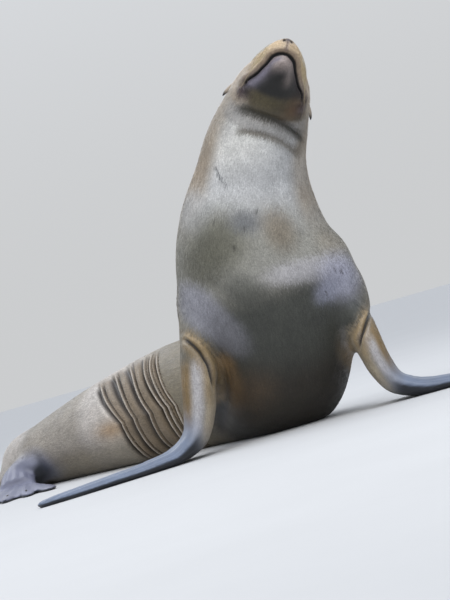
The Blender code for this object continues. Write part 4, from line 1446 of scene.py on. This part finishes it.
# ---- build the skin
def near_creases(points, normals, step):
    """Where the skin needs a finer mesh: the head, folds and creases, and then the
    mouth line, nostrils and lids once more."""
    back, _, _ = head_places(points)
    if step == 0:
        fine = back < HEAD_END
        for line in (ARMPIT_RIGHT, ARMPIT_LEFT):
            gap, _, _ = line_distance(points, line)
            fine |= (gap < 0.025) & (normals[:, 1] < 0.3)
        straight, _, _ = trunk_line.straighten(points)
        groove, ridge, _ = flank_folds(straight)
        fine |= groove + ridge > 0.02
        fine |= bend_folds(straight) > 0.0005
        fine |= throat_folds(points) > 0.0004
        fine |= (distance_to(points, BARE) < 0.004) & (normals[:, 2] > 0.4)
        return fine
    gap, open_share = mouth_gap(points)
    fine = (back < 0.150) & (open_share > 0) & (np.abs(gap) < 0.012)
    fine |= back < 0.022
    for sign in (-1, 1):
        offset, out, _, _ = eye_places(points, sign)
        fine |= (np.linalg.norm(offset, axis=1) < 0.030) & (out > 0)
    return fine


def shape_skin(item):
    """Work folds, lips, lids and the flippers' cords into the plain skin."""
    mesh = item.data
    points = read_points(mesh)
    straight, _, _ = trunk_line.straighten(points)
    write_points(mesh, shape_folds(points, read_normals(mesh), straight))
    write_points(mesh, shape_head(read_points(mesh), read_normals(mesh)))
    write_points(mesh, shape_eyes(read_points(mesh)))
    edges = read_rows(mesh.edges, "vertices", 2, np.int32)
    points = relax(read_points(mesh), edges, 0.25, 2)
    normals = read_normals(mesh)
    bare = ramp(distance_to(points, BARE), 0.050, 0.012)
    points += normals * flipper_ridges(points, normals, bare)[:, None]
    write_points(mesh, rest_on_floor(points))
    return straight


def lie_of_coat(points):
    """How the coat lies: down the trunk, and down each limb where one is near.

    Gives the places down the trunk and down the limbs, the direction of the hairs,
    and how much each point belongs to a limb.
    """
    straight, lie, _ = trunk_line.straighten(points)
    limb = np.zeros((len(points), 3))
    on_limb = np.zeros(len(points))
    for number, (line, reach) in enumerate(zip(limb_lines, LIMB_RADIUS), 1):
        places, way, away = line.straighten(points)
        share = ramp(away, reach + 0.03, reach - 0.01) * ramp(places[:, 0], -0.01, 0.06)
        closer = share > on_limb
        limb = np.where(closer[:, None], places + LIMB_STEP * number, limb)
        lie = np.where((share > 0.5)[:, None], way, lie)
        on_limb = np.maximum(on_limb, share)
    return straight, limb, lie, on_limb


skin = fused_skin()
smooth_skin(skin)
refine(skin, near_creases, 2)
plain = read_points(skin.data)       # the skin before folds and lips are worked in
plain_straight = shape_skin(skin)
points = read_points(skin.data)
normals = read_normals(skin.data)
straight, limb, lie, on_limb = lie_of_coat(points)
bare = ramp(distance_to(points, BARE), 0.085, 0.008)
arms = ramp(distance_to(points, ("forearm_right", "forearm_left")), 0.05, 0.01)
tone = paint_skin(plain, normals, plain_straight, arms, bare)
set_coat(skin.data, tone, straight, limb, on_limb, bare)
coat = coat_material()
finish_mesh(skin, coat)
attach(skin, "root")
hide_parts(*COATED, *BARE)

# ---- the small pieces
chance = np.random.default_rng(7)
surface = BVHTree.FromPolygons(
    [tuple(p) for p in points], [tuple(face.vertices) for face in skin.data.polygons]
)
eye_finish = eye_material()
claw_finish = horn_material("claw", linear(70, 62, 54), linear(40, 36, 32), 0.35)
whisker_finish = horn_material("whisker", linear(196, 180, 140), linear(120, 104, 80), 0.4)


def coat_ear(ear, material):
    """Give an ear the coat, dark at its tip."""
    mesh = ear.data
    spots = read_points(mesh)
    reach = read_rows(mesh.attributes["reach"].data, "value", 1)[:, 0]
    tone = np.tile(CHEEK * 0.7, (len(reach), 1))
    tone = painted(tone, [(BLACK * 1.5, ramp(reach, 0.6, 0.9))])
    set_coat(mesh, tone, spots, spots, np.zeros(len(spots)), np.full(len(spots), EAR_BARE))
    finish_mesh(ear, material)


for side, sign in (("right", 1), ("left", -1)):
    eye = make_eye(side, sign, eye_finish)
    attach(eye, "root")
    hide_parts("eye_" + side)

    ear = make_ear(side, sign)
    coat_ear(ear, coat)
    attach(ear, "root")
    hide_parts("ear_" + side)

    leg = LEG_RIGHT if sign > 0 else LEG_LEFT
    ankle = np.array(leg[1])
    for toe in (2, 3, 4):
        node = "claw_%s_%d" % (side, toe)
        way = middle(node) - ankle
        way[2] = 0.0
        claw = make_claw("nail_%s_%d" % (side, toe), node, unit(way), claw_finish)
        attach(claw, "root")
        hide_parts(node)

    whiskers = make_whiskers(side, sign, surface, chance, whisker_finish)
    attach(whiskers, "root")

# ---- tufts
thick, lift = coat_share(plain, normals, plain_straight, bare)
size = tuft_sizes(plain, normals, plain_straight, bare, lift)
skin.data.calc_loop_triangles()
looks = (points, normals, lie, lift, size, tone, straight, limb, on_limb, bare)
for name, start, stop, limbs, count in TUFTS:
    inside = (straight[:, 0] >= start) & (straight[:, 0] < stop)
    inside &= (on_limb > 0.5) if limbs else (on_limb <= 0.5)
    coat_piece = make_tufts(name, skin, looks, thick * inside, count, surface, chance, coat)
    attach(coat_piece, "root")

# ---- stage and camera
CAMERA_AIM = Vector((0.0386, -0.4215, 0.3025))
CAMERA_DISTANCE = 4.2
CAMERA_HEIGHT = 0.22
CAMERA_ROLL = math.radians(16.0)     # stands for the slope of the rock in the photo
CAMERA_LENS = 120.0
FLOOR_REACH = 60.0           # half the floor's width

world = bpy.data.worlds.new("studio")
world.use_nodes = True
tree = world.node_tree
direction = tree.nodes.new("ShaderNodeTexCoord")
parted = tree.nodes.new("ShaderNodeSeparateXYZ")
sky = tree.nodes.new("ShaderNodeValToRGB")
tree.links.new(direction.outputs["Generated"], parted.inputs[0])
tree.links.new(parted.outputs["Z"], sky.inputs[0])
tree.links.new(sky.outputs[0], tree.nodes["Background"].inputs["Color"])
sky.color_ramp.interpolation = "EASE"
sky.color_ramp.elements[0].position = 0.02
sky.color_ramp.elements[0].color = (0.60, 0.61, 0.62, 1.0)
sky.color_ramp.elements[1].position = 0.70
sky.color_ramp.elements[1].color = (1.04, 1.10, 1.20, 1.0)
bpy.context.scene.world = world

floor_mesh = bpy.data.meshes.new("floor")
floor_mesh.from_pydata(
    [(x * FLOOR_REACH, y * FLOOR_REACH, 0) for x, y in ((-1, -1), (1, -1), (1, 1), (-1, 1))],
    [], [(0, 1, 2, 3)],
)
floor = add_object("floor", floor_mesh)
floor_nodes = Nodes("pale_floor")
floor_grain = floor_nodes.noise(floor_nodes.place(), 3.0, 4.0)
floor_shade = floor_nodes.blend(floor_grain, grey(0.50), grey(0.54))
floor_mesh.materials.append(floor_nodes.finish(Base_Color=floor_shade, Roughness=0.8))


def add_light(name, place, aim, size, power, colour):
    """A round lamp of that size in metres, turned towards its aim."""
    light = bpy.data.lights.new(name, "AREA")
    light.shape = "DISK"
    light.size = size
    light.energy = power
    light.color = colour
    item = add_object(name, light)
    item.location = place
    item.rotation_mode = "QUATERNION"
    item.rotation_quaternion = (Vector(aim) - Vector(place)).to_track_quat("-Z", "Y")


add_light("key", (-0.9, -3.0, 3.4), (0.0, -0.3, 0.3), 2.2, 40.0, (1.0, 0.98, 0.95))
add_light("top", (1.2, -1.5, 3.1), (0.0, -0.2, 0.3), 1.6, 36.0, (0.92, 0.95, 1.0))
add_light("rim", (-1.5, 1.8, 2.8), (-0.1, 0.0, 0.2), 2.0, 24.0, (0.95, 0.97, 1.0))

camera_data = bpy.data.cameras.new("camera")
camera_data.lens = CAMERA_LENS
camera_data.sensor_width = 36.0
camera = add_object("camera", camera_data)
place = Vector((CAMERA_AIM.x, CAMERA_AIM.y - CAMERA_DISTANCE, CAMERA_HEIGHT))
ahead = (CAMERA_AIM - place).normalized()
level = Vector((1.0, 0.0, 0.0))
rise = level.cross(ahead)
right = level * math.cos(CAMERA_ROLL) - rise * math.sin(CAMERA_ROLL)
rise = level * math.sin(CAMERA_ROLL) + rise * math.cos(CAMERA_ROLL)
turned = Matrix((right, rise, -ahead)).transposed().to_4x4()
camera.matrix_world = Matrix.Translation(place) @ turned
bpy.context.scene.camera = camera
bpy.context.scene.view_settings.view_transform = "Standard"
